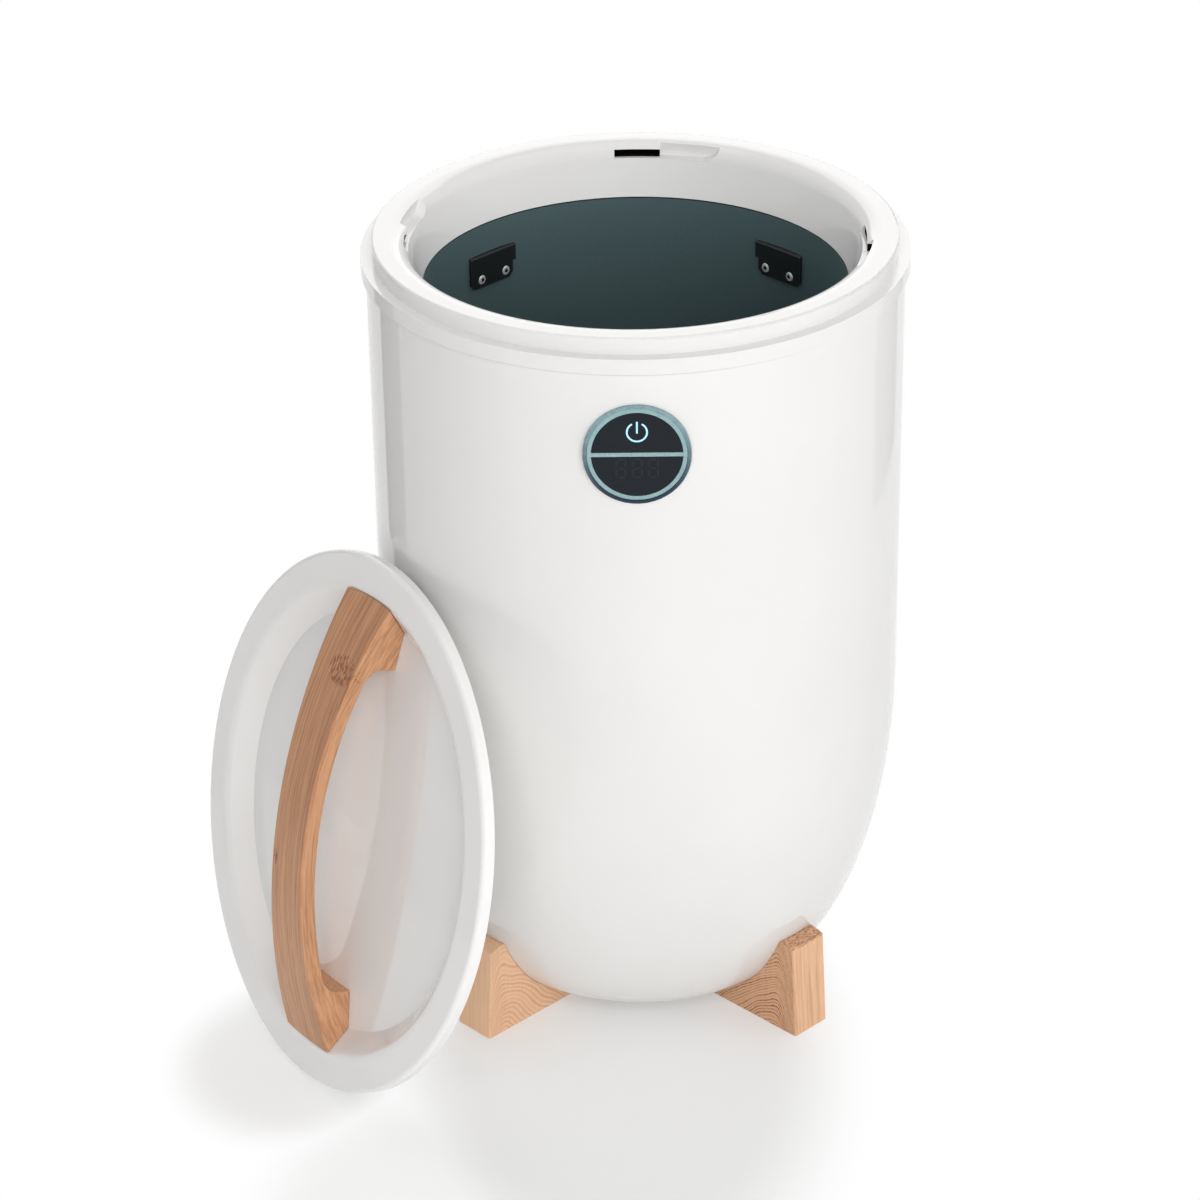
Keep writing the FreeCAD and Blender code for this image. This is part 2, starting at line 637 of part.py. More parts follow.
def make_collar():
    """Ring with a ledge and band outside, a rounded funnel inside and the lid's lock slots."""
    collar = Piece("collar")
    lip_height = size.body_height - size.collar_lip_round
    wide = flat_radius - size.mouth_radius
    tall = lip_height - mouth_height
    apart = wide * wide + tall * tall
    tangent = root(apart - size.collar_lip_round * size.collar_lip_round)
    slope_out = (wide * tangent - tall * size.collar_lip_round) / apart
    slope_up = (tall * tangent + wide * size.collar_lip_round) / apart
    skirt_inside = shell_radius + size.seat_gap
    band_inside = band_radius - size.collar_wall
    top_under = size.body_height - size.collar_wall
    funnel_back = flat_radius - size.funnel_back_inset
    edge = size.collar_edge_round
    ring = collar.sketch("XZ_Plane").start(collar_radius, skirt_bottom)
    ring.line(collar_radius, collar_ledge)
    ring.line(band_radius, collar_ledge)
    ring.line(band_radius, size.body_height - edge)
    ring.arc(band_radius - edge, size.body_height, edge, LEFT)
    ring.line(flat_radius, size.body_height)
    ring.arc(
        size.mouth_radius + slope_out * tangent,
        mouth_height + slope_up * tangent,
        size.collar_lip_round,
        LEFT,
    )
    ring.line(size.mouth_radius, mouth_height)
    ring.line(size.mouth_radius + size.mouth_lip, mouth_height)
    ring.line(funnel_back, size.body_height - size.funnel_back_drop)
    ring.line(funnel_back, top_under - size.collar_wall / 2)
    ring.line(funnel_back + size.collar_wall, top_under)
    ring.line(band_inside, top_under)
    ring.line(band_inside, shell_top)
    ring.line(skirt_inside, shell_top)
    ring.line(skirt_inside, skirt_bottom).close()
    collar.revolve(ring)
    slot = collar.sketch("XZ_Plane")
    slot_bottom = size.body_height - size.slot_drop
    slot.box(-size.slot_left, slot_bottom, size.slot_right, slot_bottom + size.slot_height)
    slot_cut = collar.pocket(slot, (funnel_back + band_inside) / 2)
    collar.repeat([slot_cut], LOCK_COUNT)
    collar.cut_with(make_entry_cutter())


def make_entry_cutter():
    """What the lugs' open pockets remove: a floor that ramps up to the top, in a round wall."""
    cutter = Piece("entry_cutter", kept=False)
    floor = size.body_height - size.entry_drop
    above = size.body_height + size.overrun
    far = size.slot_right + size.entry_length
    spare = size.entry_ramp - size.entry_drop
    ramp = root(size.entry_ramp * size.entry_ramp - spare * spare)
    side = cutter.sketch("XZ_Plane").start(size.slot_right, floor)
    side.line(far - ramp, floor)
    side.arc(far, size.body_height, size.entry_ramp, LEFT)
    side.line(far, above)
    side.line(size.slot_right, above).close()
    run = cutter.pad(side, entry_radius + size.overrun, reverse=True)
    cutter.repeat([run], LOCK_COUNT)
    round_wall = cutter.sketch("XZ_Plane")
    round_wall.box(entry_radius, floor - size.overrun, collar_radius + far, above + size.overrun)
    cutter.groove(round_wall)
    return cutter


def make_liner():
    """Drawn pot with a rounded floor corner and a turned-out edge, drilled for the clips."""
    liner = Piece("liner")
    inner_flat = size.mouth_radius - size.liner_corner
    bend = size.liner_floor + size.liner_corner
    pot = liner.sketch("XZ_Plane").start(ZERO, size.liner_floor)
    pot.line(inner_flat, size.liner_floor)
    pot.arc(size.mouth_radius, bend, size.liner_corner, LEFT)
    pot.line(size.mouth_radius, liner_mouth)
    pot.line(liner_outside + size.liner_flange, liner_mouth)
    pot.line(liner_outside + size.liner_flange, liner_mouth - size.liner_wall)
    pot.line(liner_outside, liner_mouth - size.liner_wall)
    pot.line(liner_outside, bend)
    pot.arc(inner_flat, liner_under, size.liner_corner + size.liner_wall, RIGHT)
    pot.line(ZERO, liner_under).close()
    liner.revolve(pot)
    for angle, _ in clip_bearings():
        for side in SIDES:
            hole = liner.spoke(angle, size.clip_screw_spread * side, clip_screw_height)
            hole.box(clip_front, ZERO, liner_outside + size.overrun, size.clip_screw_radius + size.hole_gap)
            liner.groove(hole, axis="H_Axis")


def clip_bearings():
    """The two clips' angles from +X, with the side on which the back lies."""
    back = Dim(QUARTER_TURN, str(QUARTER_TURN))
    return ((back - size.clip_angle, LEFT), (back + size.clip_angle, RIGHT))


def make_sleeve(name, inside, outside, low, high):
    """A plain ring round the body's axis."""
    sleeve = Piece(name)
    sleeve.revolve(sleeve.sketch("XZ_Plane").box(inside, low, outside, high))


def make_liner_surround():
    """Seal, heaters, insulation and the ring that the liner stands on."""
    seal_inside = size.mouth_radius + size.seal_inset
    seal_outside = liner_outside + size.liner_flange
    make_sleeve("liner_seal", seal_inside, seal_outside, liner_mouth, mouth_height)
    heater_low = size.liner_floor + size.heater_rise
    heater_high = liner_mouth - size.heater_drop
    make_sleeve("heating_band", heater_inside, heater_outside, heater_low, heater_high)
    jacket_inside = heater_outside + size.heater_gap
    make_sleeve(
        "insulation_jacket",
        jacket_inside,
        jacket_inside + size.jacket_thick,
        heater_low - size.jacket_lap,
        heater_high + size.jacket_lap,
    )
    web = stand_radius - size.stand_wall
    lip = stand_radius - size.stand_flange
    plate = Piece("base_heater")
    disc = plate.sketch("XY_Plane", (0, 0, liner_under)).circle(ZERO, ZERO, lip - size.base_heater_gap)
    plate.pad(disc, size.base_heater_thick, reverse=True)
    stand = Piece("liner_stand")
    ring = stand.sketch("XZ_Plane").start(lip, floor_inside)
    ring.line(stand_radius, floor_inside)
    ring.line(stand_radius, liner_under)
    ring.line(lip, liner_under)
    ring.line(lip, liner_under - size.stand_wall)
    ring.line(web, liner_under - size.stand_wall)
    ring.line(web, floor_inside + size.stand_wall)
    ring.line(lip, floor_inside + size.stand_wall).close()
    stand.revolve(ring)


def make_liner_sensors():
    """Thermostat to the right, thermal fuse to the left and temperature sensor in front."""
    thermostat = Piece("thermostat")
    can = thermostat.spoke(ZERO, ZERO, sensor_height).start(heater_inside, ZERO)
    can.line(heater_inside + size.thermostat_depth, ZERO)
    can.line(heater_inside + size.thermostat_depth, size.thermostat_can_radius)
    can.line(heater_inside + size.thermostat_flange, size.thermostat_can_radius)
    can.line(heater_inside + size.thermostat_flange, size.thermostat_radius)
    can.line(heater_inside, size.thermostat_radius).close()
    thermostat.revolve(can, axis="H_Axis")
    fuse = Piece("thermal_fuse", turned_by(2 * QUARTER_TURN))
    half_body = size.fuse_length / 2
    half_fuse = half_body + size.fuse_lead_length
    stick = fuse.sketch("XZ_Plane", (heater_inside + size.fuse_radius, sensor_height, 0))
    stick.start(ZERO, -half_fuse).line(size.fuse_lead_radius, -half_fuse)
    stick.line(size.fuse_lead_radius, -half_body).line(size.fuse_radius, -half_body)
    stick.line(size.fuse_radius, half_body).line(size.fuse_lead_radius, half_body)
    stick.line(size.fuse_lead_radius, half_fuse).line(ZERO, half_fuse).close()
    fuse.revolve(stick)
    sensor = Piece("temperature_sensor", turned_by(-QUARTER_TURN))
    half_width = size.sensor_width / 2
    straight = size.sensor_length / 2 - half_width
    block = sensor.sketch("YZ_Plane", (0, sensor_height, heater_inside))
    block.start(half_width, -straight).line(half_width, straight)
    block.arc(ZERO, straight + half_width, half_width, LEFT)
    block.arc(-half_width, straight, half_width, LEFT)
    block.line(-half_width, -straight)
    block.arc(ZERO, -(straight + half_width), half_width, LEFT)
    block.arc(half_width, -straight, half_width, LEFT)
    sensor.pad(block, size.sensor_thick)


def make_clips():
    """Two mirrored clips on the liner wall, and their four socket screws."""
    wall = size.mouth_radius - size.seat_gap
    half = size.clip_width / 2
    top = clip_bottom + size.clip_height
    screw_seat = clip_front + size.clip_screw_sink
    for (angle, back), name in zip(clip_bearings(), ("liner_clip_right", "liner_clip_left")):
        clip = Piece(name, turned_by(angle.value))
        ear_side, plain_side = half * back, -(half * back)
        plate_side = (half - size.clip_ear) * back
        corner = size.clip_corner * back
        low = clip_bottom
        face = clip.sketch("YZ_Plane", (0, 0, clip_front)).start(ear_side, top)
        face.line(plain_side, top)
        face.line(plain_side, low + size.clip_corner)
        face.line(plain_side + corner, low)
        face.line(plate_side - corner, low)
        face.line(plate_side, low + size.clip_corner)
        face.line(plate_side, top - size.clip_ear_height)
        face.line(ear_side, top - size.clip_ear_height).close()
        clip.pad(face, size.clip_depth)
        bevel = clip.sketch("XZ_Plane").start(clip_front - size.overrun, top + size.overrun)
        bevel.line(clip_front - size.overrun, top - size.clip_lip - size.overrun)
        bevel.line(clip_front + size.clip_lip + size.overrun, top + size.overrun).close()
        clip.pocket(bevel, size.clip_width + size.overrun, both=True)
        trim = clip.sketch("XZ_Plane")
        trim.box(wall, low - size.overrun, wall + size.overrun + half, top + size.overrun)
        clip.groove(trim)
        for side in SIDES:
            hole = clip.spoke(ZERO, size.clip_screw_spread * side, clip_screw_height)
            bore = size.clip_screw_radius + size.hole_gap
            hole.box(clip_front - size.overrun, ZERO, wall + size.overrun, bore)
            clip.groove(hole, axis="H_Axis")
            sink = clip.spoke(ZERO, size.clip_screw_spread * side, clip_screw_height)
            sink.box(clip_front - size.overrun, ZERO, screw_seat, size.clip_screw_head_radius + size.hole_gap)
            clip.groove(sink, axis="H_Axis")
    screws = Piece("liner_clip_screws")
    face = screw_seat - size.clip_screw_head
    for angle, _ in clip_bearings():
        for side in SIDES:
            screw = screws.spoke(angle, size.clip_screw_spread * side, clip_screw_height)
            screw.start(face + size.clip_screw_socket, ZERO)
            screw.line(liner_outside + size.clip_screw_end, ZERO)
            screw.line(liner_outside + size.clip_screw_end, size.clip_screw_radius)
            screw.line(screw_seat, size.clip_screw_radius)
            screw.line(screw_seat, size.clip_screw_head_radius)
            screw.line(face, size.clip_screw_head_radius)
            screw.line(face, size.clip_screw_socket_radius)
            screw.line(face + size.clip_screw_socket, size.clip_screw_socket_radius).close()
            screws.revolve(screw, axis="H_Axis")


def half_disc(outline, radius, edge, side):
    """A half disc about the panel's middle, above (LEFT) or below (RIGHT) a straight edge."""
    reach = root(radius * radius - edge * edge)
    base = panel_height + edge * side
    outline.start(reach, base)
    outline.arc(ZERO, panel_height + radius * side, radius, side)
    outline.arc(-reach, base, radius, side)
    return outline.close()


def half_ring(outline, outer, inner, side):
    """A half ring about the panel's middle, above (LEFT) or below (RIGHT) it."""
    middle = panel_height
    outline.start(outer, middle)
    outline.arc(ZERO, middle + outer * side, outer, side)
    outline.arc(-outer, middle, outer, side)
    outline.line(-inner, middle)
    outline.arc(ZERO, middle + inner * side, inner, -side)
    outline.arc(inner, middle, inner, -side)
    return outline.close()


def make_panel():
    """Round panel in the front wall: bezel, ring, lens, housing and what is on its board."""
    bezel = Piece("panel_bezel")
    bezel_back = bezel_front - size.bezel_depth
    flange = bezel.sketch("XZ_Plane", (0, 0, bezel_back))
    flange.circle(ZERO, panel_height, bezel_radius)
    flange.circle(ZERO, panel_height, bezel_sleeve_inside)
    bezel.pad(flange, size.bezel_depth)
    saddle = bezel.sketch("XZ_Plane")
    low = panel_height - bezel_radius - size.overrun
    high = panel_height + bezel_radius + size.overrun
    saddle.box(ZERO, low, shell_radius + size.seat_gap, high)
    bezel.groove(saddle)
    sleeve = bezel.sketch("XZ_Plane", (0, 0, bezel_back))
    sleeve.circle(ZERO, panel_height, bezel_sleeve_outside)
    sleeve.circle(ZERO, panel_height, bezel_sleeve_inside)
    bezel.pad(sleeve, size.bezel_depth - size.ring_recess)
    front = -bezel_front.value
    rim = bezel_radius.value
    bezel.soften("Fillet", size.bezel_round, lambda edge: is_circle_at(edge, front, rim))

    ring = Piece("panel_ring")
    band = ring.sketch("XZ_Plane", (0, 0, ring_back))
    band.circle(ZERO, panel_height, ring_radius)
    band.circle(ZERO, panel_height, size.ring_inner_radius)
    ring.pad(band, size.ring_thick)
    bar = ring.sketch("XZ_Plane", (0, 0, ring_back))
    middle = (ring_radius + size.ring_inner_radius) / 2
    bar.box(-middle, panel_height - half_divider, middle, panel_height + half_divider)
    ring.pad(bar, size.ring_thick)

    lens = Piece("display_lens")
    pane = lens.sketch("XZ_Plane", (0, 0, key_back))
    half_disc(pane, size.ring_inner_radius - size.lens_gap, half_divider + size.lens_gap, RIGHT)
    lens.pad(pane, size.key_thick)

    housing = Piece("panel_housing")
    housing_back = board_back - size.housing_floor
    cup = housing.sketch("XZ_Plane", (0, 0, housing_back))
    cup.circle(ZERO, panel_height, housing_radius)
    housing.pad(cup, ring_back - housing_back)
    hollow = housing.sketch("XZ_Plane", (0, 0, board_back))
    hollow.circle(ZERO, panel_height, shelf_inside)
    housing.pocket(hollow, ring_back - board_back + size.overrun, reverse=True)
    stop = key_back - size.key_travel - size.key_gap
    for side, shelf in ((LEFT, stop), (RIGHT, key_back)):
        step = housing.sketch("XZ_Plane", (0, 0, shelf))
        half_ring(step, housing_inside, shelf_inside - size.overrun, side)
        housing.pocket(step, ring_back - shelf + size.overrun, reverse=True)

    board = Piece("control_board")
    disc = board.sketch("XZ_Plane", (0, 0, board_back))
    disc.circle(ZERO, panel_height, shelf_inside - size.board_gap)
    board.pad(disc, size.board_thick)

    switch = Piece("tact_switch")
    half = size.switch_width / 2
    stem_height = panel_height + size.stem_rise
    block = switch.sketch("XZ_Plane", (0, 0, board_front))
    block.box(-half, stem_height - half, half, stem_height + half)
    switch.pad(block, size.switch_body)
    cap = switch.sketch("XZ_Plane", (0, 0, board_front)).circle(ZERO, stem_height, size.switch_cap_radius)
    switch.pad(cap, size.switch_body + size.switch_cap)

    digits = Piece("display_module")
    up = size.digits_height / 2
    digit_height = panel_height - size.digits_drop
    corner = shelf_inside - size.digits_margin
    corner_drop = size.digits_drop + up
    across = root(corner * corner - corner_drop * corner_drop)
    case = digits.sketch("XZ_Plane", (0, 0, board_front))
    case.box(-across, digit_height - up, across, digit_height + up)
    digits.pad(case, size.digits_depth)


def is_circle_at(edge, y, radius):
    """True for a round edge of this radius in the plane at this y."""
    curve = edge.Curve
    if not isinstance(curve, Part.Circle):
        return False
    near = size.seat_gap.value
    return abs(curve.Center.y - y) < near and abs(curve.Radius - radius) < near


def make_power_button():
    """Half-round push key with a stem towards its switch."""
    key = Piece("power_button")
    face = key.sketch("XZ_Plane", (0, 0, key_back))
    half_disc(face, size.ring_inner_radius - size.key_gap, half_divider + size.key_gap, LEFT)
    key.pad(face, size.key_thick)
    stem = key.sketch("XZ_Plane", (0, 0, key_back - size.stem_length))
    stem.circle(ZERO, panel_height + size.stem_rise, size.stem_radius)
    key.pad(stem, size.stem_length + size.key_thick / 2)


def make_base():
    """Base cover with its screws, the power board on posts, and the cord gland."""
    cover = Piece("base_cover")
    flange = cover.sketch("XY_Plane", (0, 0, cover_under)).circle(ZERO, ZERO, cover_radius)
    cover.pad(flange, size.cover_thick)
    plug = cover.sketch("XY_Plane", (0, 0, cover_under))
    plug.circle(ZERO, ZERO, size.base_opening_radius - size.seat_gap)
    cover.pad(plug, size.cover_thick + size.shell_wall)
    posts = cover.sketch("XY_Plane", (0, 0, size.shell_floor))
    for across in SIDES:
        for deep in SIDES:
            posts.circle(size.post_across * across, size.post_deep * deep, size.post_radius)
    cover.pad(posts, size.shell_wall + size.post_height)
    hole = cover.sketch("XY_Plane", (0, 0, cover_under))
    hole.circle(cover_screw_pitch, ZERO, size.cover_screw_radius + size.hole_gap)
    drilled = cover.pocket(hole, size.cover_thick + size.overrun, reverse=True)
    cover.repeat([drilled], COVER_SCREW_COUNT)

    screws = Piece("base_cover_screws")
    make_screw(
        screws,
        (cover_screw_pitch, cover_under, 0),
        size.cover_screw_head_radius,
        -size.cover_screw_head,
        size.cover_screw_radius,
        size.cover_screw_length,
        COVER_SCREW_COUNT,
    )

    board = Piece("power_board")
    across, deep = size.post_across + size.post_edge, size.post_deep + size.post_edge
    plate = board.sketch("XY_Plane", (0, 0, power_board_low)).box(-across, -deep, across, deep)
    board.pad(plate, size.board_thick)

    relay = Piece("power_relay")
    across, deep = size.relay_width / 2, size.relay_depth / 2
    case = relay.sketch("XY_Plane", (0, 0, power_board_high))
    case.box(size.relay_place - across, -deep, size.relay_place + across, deep)
    relay.pad(case, size.relay_height)

    terminal = Piece("terminal_block")
    across, deep = size.terminal_width / 2, size.terminal_depth / 2
    case = terminal.sketch("XY_Plane", (0, 0, power_board_high))
    case.box(-size.terminal_place - across, -deep, -size.terminal_place + across, deep)
    terminal.pad(case, size.terminal_height)
    ways = terminal.sketch("YZ_Plane", (0, power_board_high, -size.terminal_place))
    for side in SIDES:
        ways.circle(size.terminal_pitch * side, size.terminal_height / 2, size.terminal_way_radius)
    terminal.pocket(ways, across + size.overrun)

    gland = Piece("cord_gland")
    flange = gland_seat + size.gland_thick
    profile = gland.sketch("YZ_Plane", (0, size.gland_height, 0))
    profile.start(flange - size.gland_neck - size.gland_thick, size.gland_bore_radius)
    profile.line(flange, size.gland_bore_radius)
    profile.line(flange, size.gland_radius - size.gland_round)
    profile.arc(flange - size.gland_round, size.gland_radius, size.gland_round, LEFT)
    profile.line(gland_seat, size.gland_radius)
    profile.line(gland_seat, size.gland_neck_radius)
    profile.line(flange - size.gland_neck - size.gland_thick, size.gland_neck_radius).close()
    gland.revolve(profile, axis="H_Axis")
    nut = Piece("gland_nut")
    nut_reach = root(shell_inside * shell_inside - size.gland_nut_radius * size.gland_nut_radius)
    nut_front = nut_reach - size.seat_gap
    ring = nut.sketch("YZ_Plane", (0, size.gland_height, 0))
    bore = size.gland_neck_radius + size.hole_gap
    ring.box(nut_front - size.gland_nut_thick, bore, nut_front, size.gland_nut_radius)
    nut.revolve(ring, axis="H_Axis")


def make_screw(piece, place, head_radius, head, shank_radius, length, count):
    """A ring of screws: the head lies on the far side of the seat from the shank."""
    profile = piece.sketch("XZ_Plane", place)
    profile.start(ZERO, head).line(head_radius, head).line(head_radius, ZERO)
    profile.line(shank_radius, ZERO).line(shank_radius, length).line(ZERO, length).close()
    screw = piece.revolve(profile)
    if count:
        piece.repeat([screw], count)
    return screw


def make_feet():
    """Four wooden blocks that cradle the shell's lower curve, and the screws that hold them."""
    corners = ("rear_right", "rear_left", "front_left", "front_right")
    tip = cover_radius + size.foot_tip_gap
    end = shell_radius - size.foot_inset
    peak = size.foot_top + size.foot_facet_rise
    for index, corner in enumerate(corners):
        foot = Piece(f"foot_{corner}", turned_by(HALF_QUARTER + QUARTER_TURN * index))
        side = foot.sketch("XZ_Plane").start(tip, ZERO)
        side.line(end, ZERO)
        side.line(end - size.foot_draft, size.foot_top)
        side.line(end - size.foot_draft - size.foot_facet, peak)
        side.line(tip, peak).close()
        foot.pad(side, size.foot_width, both=True)
        foot.soften("Chamfer", size.foot_edge, is_foot_outer_edge)
        cradle = foot.sketch("XZ_Plane").start(ZERO, size.shell_floor - size.seat_gap)
        shell_profile(cradle, size.seat_gap)
        cradle.line(ZERO, size.shell_bend).close()
        foot.groove(cradle)
        holes = foot.sketch("XY_Plane", (0, 0, size.shell_floor - size.foot_screw_depth - size.seat_gap))
        for way in SIDES:
            spread = size.foot_screw_spread * way
            holes.circle(foot_screw_pitch, spread, size.foot_screw_radius + size.hole_gap)
        foot.pocket(holes, size.shell_floor, reverse=True)
    screws = Piece("foot_screws", turned_by(HALF_QUARTER))
    shanks = []
    for way in SIDES:
        shanks.append(
            make_screw(
                screws,
                (foot_screw_pitch, floor_inside, size.foot_screw_spread * way),
                size.foot_screw_head_radius,
                size.foot_screw_head,
                size.foot_screw_radius,
                -(size.shell_wall + size.foot_screw_depth),
                0,
            )
        )
    screws.repeat(shanks, FOOT_COUNT)


def is_foot_outer_edge(edge):
    """True for the edges of a foot's outer face that run up or across its top."""
    end = shell_radius.value - size.foot_inset.value
    top = size.foot_top.value
    if edge.CenterOfMass.x < end - size.foot_draft.value - size.foot_edge.value:
        return False
    return edge.BoundBox.ZLength > top / 2 or edge.CenterOfMass.z > top - size.foot_edge.value


def lid_placement():
    """Lid frame: Z out of the dish, Y up the leaning lid. The pan's edge leans on the shell."""
    lean = math.radians(size.lid_lean.value)
    bearing = math.radians(size.lid_bearing.value)
    outward = FreeCAD.Vector(-math.sin(bearing), -math.cos(bearing), 0)
    level = FreeCAD.Vector(math.cos(bearing), -math.sin(bearing), 0)
    away = (
        shell_radius.value
        + size.lean_gap.value
        + size.pan_depth.value * math.cos(lean)
        + pan_radius.value * math.sin(lean)
    )
    height = lid_radius.value * math.cos(lean) + size.lid_skirt.value * math.sin(lean)
    place = outward * away + level * size.lid_sideways.value + FreeCAD.Vector(0, 0, height)
    tip = FreeCAD.Rotation(FreeCAD.Vector(1, 0, 0), QUARTER_TURN - size.lid_lean.value)
    turn = FreeCAD.Rotation(FreeCAD.Vector(0, 0, 1), -size.lid_bearing.value)
    return FreeCAD.Placement(place, turn * tip)


def dish_floor(radius, drop):
    """Height of the dish's domed floor at a radius, moved down by drop."""
    rise = size.dish_dome * (radius * radius) / (dish_floor_radius * dish_floor_radius)
    return size.dish_dome - size.dish_depth - rise - drop


def is_dish_rim(edge):
    """True for the round edge where the lid's flat rim turns down into the dish."""
    if edge.Degenerated or not isinstance(edge.Curve, Part.Circle):
        return False
    near = size.seat_gap.value
    return abs(edge.Curve.Center.z) < near and abs(edge.Curve.Radius - dish_radius.value) < near


def make_lid(placement):
    """Dished lid with lock lugs, its inner pan, foam, gasket and the pan's screws."""
    top = Piece("lid_top", placement)
    slant = dish_radius - dish_floor_radius
    cone_wall = size.lid_wall * root(slant * slant + size.dish_depth * size.dish_depth) / size.dish_depth
    lean_share = slant / size.dish_depth
    under_radius = dish_floor_radius + cone_wall - size.lid_wall * lean_share
    under_edge = -under_floor
    under_rim = dish_radius + cone_wall - size.lid_wall * lean_share
    dome = bow_radius(dish_floor_radius, size.dish_dome)
    under_dome = bow_radius(under_radius, size.dish_dome)
    skirt_inside = lid_radius - size.lid_wall
    edge = size.lid_edge_round
    dish = top.sketch("XZ_Plane").start(ZERO, size.dish_dome - size.dish_depth)
    dish.line(ZERO, under_edge + size.dish_dome)
    dish.arc(under_radius, under_edge, under_dome, RIGHT)
    dish.line(under_rim, -size.lid_wall)
    dish.line(skirt_inside, -size.lid_wall)
    dish.line(skirt_inside, -size.lid_skirt)
    dish.line(lid_radius, -size.lid_skirt)
    dish.line(lid_radius, -edge)
    dish.arc(lid_radius - edge, ZERO, edge, LEFT)
    dish.line(dish_radius, ZERO)
    dish.line(dish_floor_radius, -size.dish_depth)
    dish.arc(ZERO, size.dish_dome - size.dish_depth, dome, LEFT)
    top.revolve(dish)
    top.soften("Fillet", size.dish_edge, is_dish_rim)
    seated_drop = size.lid_wall + size.gasket_thick + size.slot_drop
    lug_top = seated_drop - size.slot_height + size.lug_gap
    lug_bottom = seated_drop - size.lug_gap
    lug_radius = entry_radius - size.lug_entry_gap
    lug = top.sketch("XZ_Plane").start(lug_radius, -lug_top)
    lug.line(dish_radius - lug_top * lean_share + cone_wall / 2, -lug_top)
    lug.line(dish_radius - lug_bottom * lean_share + cone_wall / 2, -lug_bottom)
    lug.line(lug_radius, -lug_bottom).close()
    lug_block = top.revolve(lug, angle=size.lug_sweep)
    top.repeat([lug_block], LOCK_COUNT)
    post_turn = size.handle_turn + Dim(HALF_QUARTER, str(HALF_QUARTER))
    post = top.sketch("XY_Plane", (0, 0, -pan_floor), post_turn)
    post.circle(pan_post_pitch, ZERO, size.pan_post_radius)
    post_block = top.pad(post, pan_floor - size.dish_depth)
    top.repeat([post_block], PAN_POST_COUNT)
    bore = top.sketch("XY_Plane", (0, 0, -pan_floor), post_turn)
    bore.circle(pan_post_pitch, ZERO, size.pan_screw_radius + size.hole_gap)
    bored = top.pocket(bore, size.pan_screw_length - size.pan_wall, reverse=True)
    top.repeat([bored], PAN_POST_COUNT)
    holes = top.sketch("XY_Plane", (0, 0, under_edge), size.handle_turn)
    handle_screw_places(holes, size.handle_screw_radius + size.hole_gap)
    top.pocket(holes, size.dish_depth, reverse=True)

    pan = Piece("lid_inner", placement)
    pan_top_radius = pan_radius + size.pan_flare
    pan_top = -(under_floor + size.seat_gap)
    bowl = pan.sketch("XZ_Plane").start(ZERO, -size.pan_depth)
    bowl.line(pan_radius, -size.pan_depth)
    bowl.line(pan_top_radius, pan_top)
    bowl.line(pan_top_radius - size.pan_wall, pan_top)
    bowl.line(pan_radius - size.pan_wall, -pan_floor)
    bowl.line(ZERO, -pan_floor).close()
    pan.revolve(bowl)
    hole = pan.sketch("XY_Plane", (0, 0, -size.pan_depth), post_turn)
    hole.circle(pan_post_pitch, ZERO, size.pan_screw_radius + size.hole_gap)
    drilled = pan.pocket(hole, size.pan_wall + size.overrun, reverse=True)
    pan.repeat([drilled], PAN_POST_COUNT)

    foam = Piece("lid_insulation", placement)
    disc = foam.sketch("XY_Plane", (0, 0, -pan_floor)).circle(ZERO, ZERO, foam_radius)
    foam.pad(disc, pan_floor - under_floor - size.foam_gap)
    clear = foam.sketch("XY_Plane", (0, 0, -pan_floor), post_turn)
    clear.circle(pan_post_pitch, ZERO, size.pan_post_radius + size.hole_gap)
    cleared = foam.pocket(clear, pan_floor, reverse=True)
    foam.repeat([cleared], PAN_POST_COUNT)

    gasket = Piece("lid_gasket", placement)
    gasket_low = -(size.lid_wall + size.gasket_thick)
    gasket_inside = flat_radius + size.gasket_inset
    gasket_outside = band_radius - size.gasket_inset
    ring = gasket.sketch("XZ_Plane")
    ring.box(gasket_inside, gasket_low, gasket_outside, -size.lid_wall)
    gasket.revolve(ring)

    post_bearing = FreeCAD.Placement(turned_by(post_turn.value))
    screws = Piece("lid_inner_screws", placement.multiply(post_bearing))
    make_screw(
        screws,
        (pan_post_pitch, -size.pan_depth, 0),
        size.pan_screw_head_radius,
        -size.pan_screw_head,
        size.pan_screw_radius,
        size.pan_screw_length - size.hole_gap,
        PAN_POST_COUNT,
    )


def handle_screw_places(outline, radius):
    """Four circles under the handle's legs, in the handle's own directions."""
    for across in SIDES:
        for along in SIDES:
            outline.circle(size.handle_screw_spread * across, handle_screw_place * along, radius)


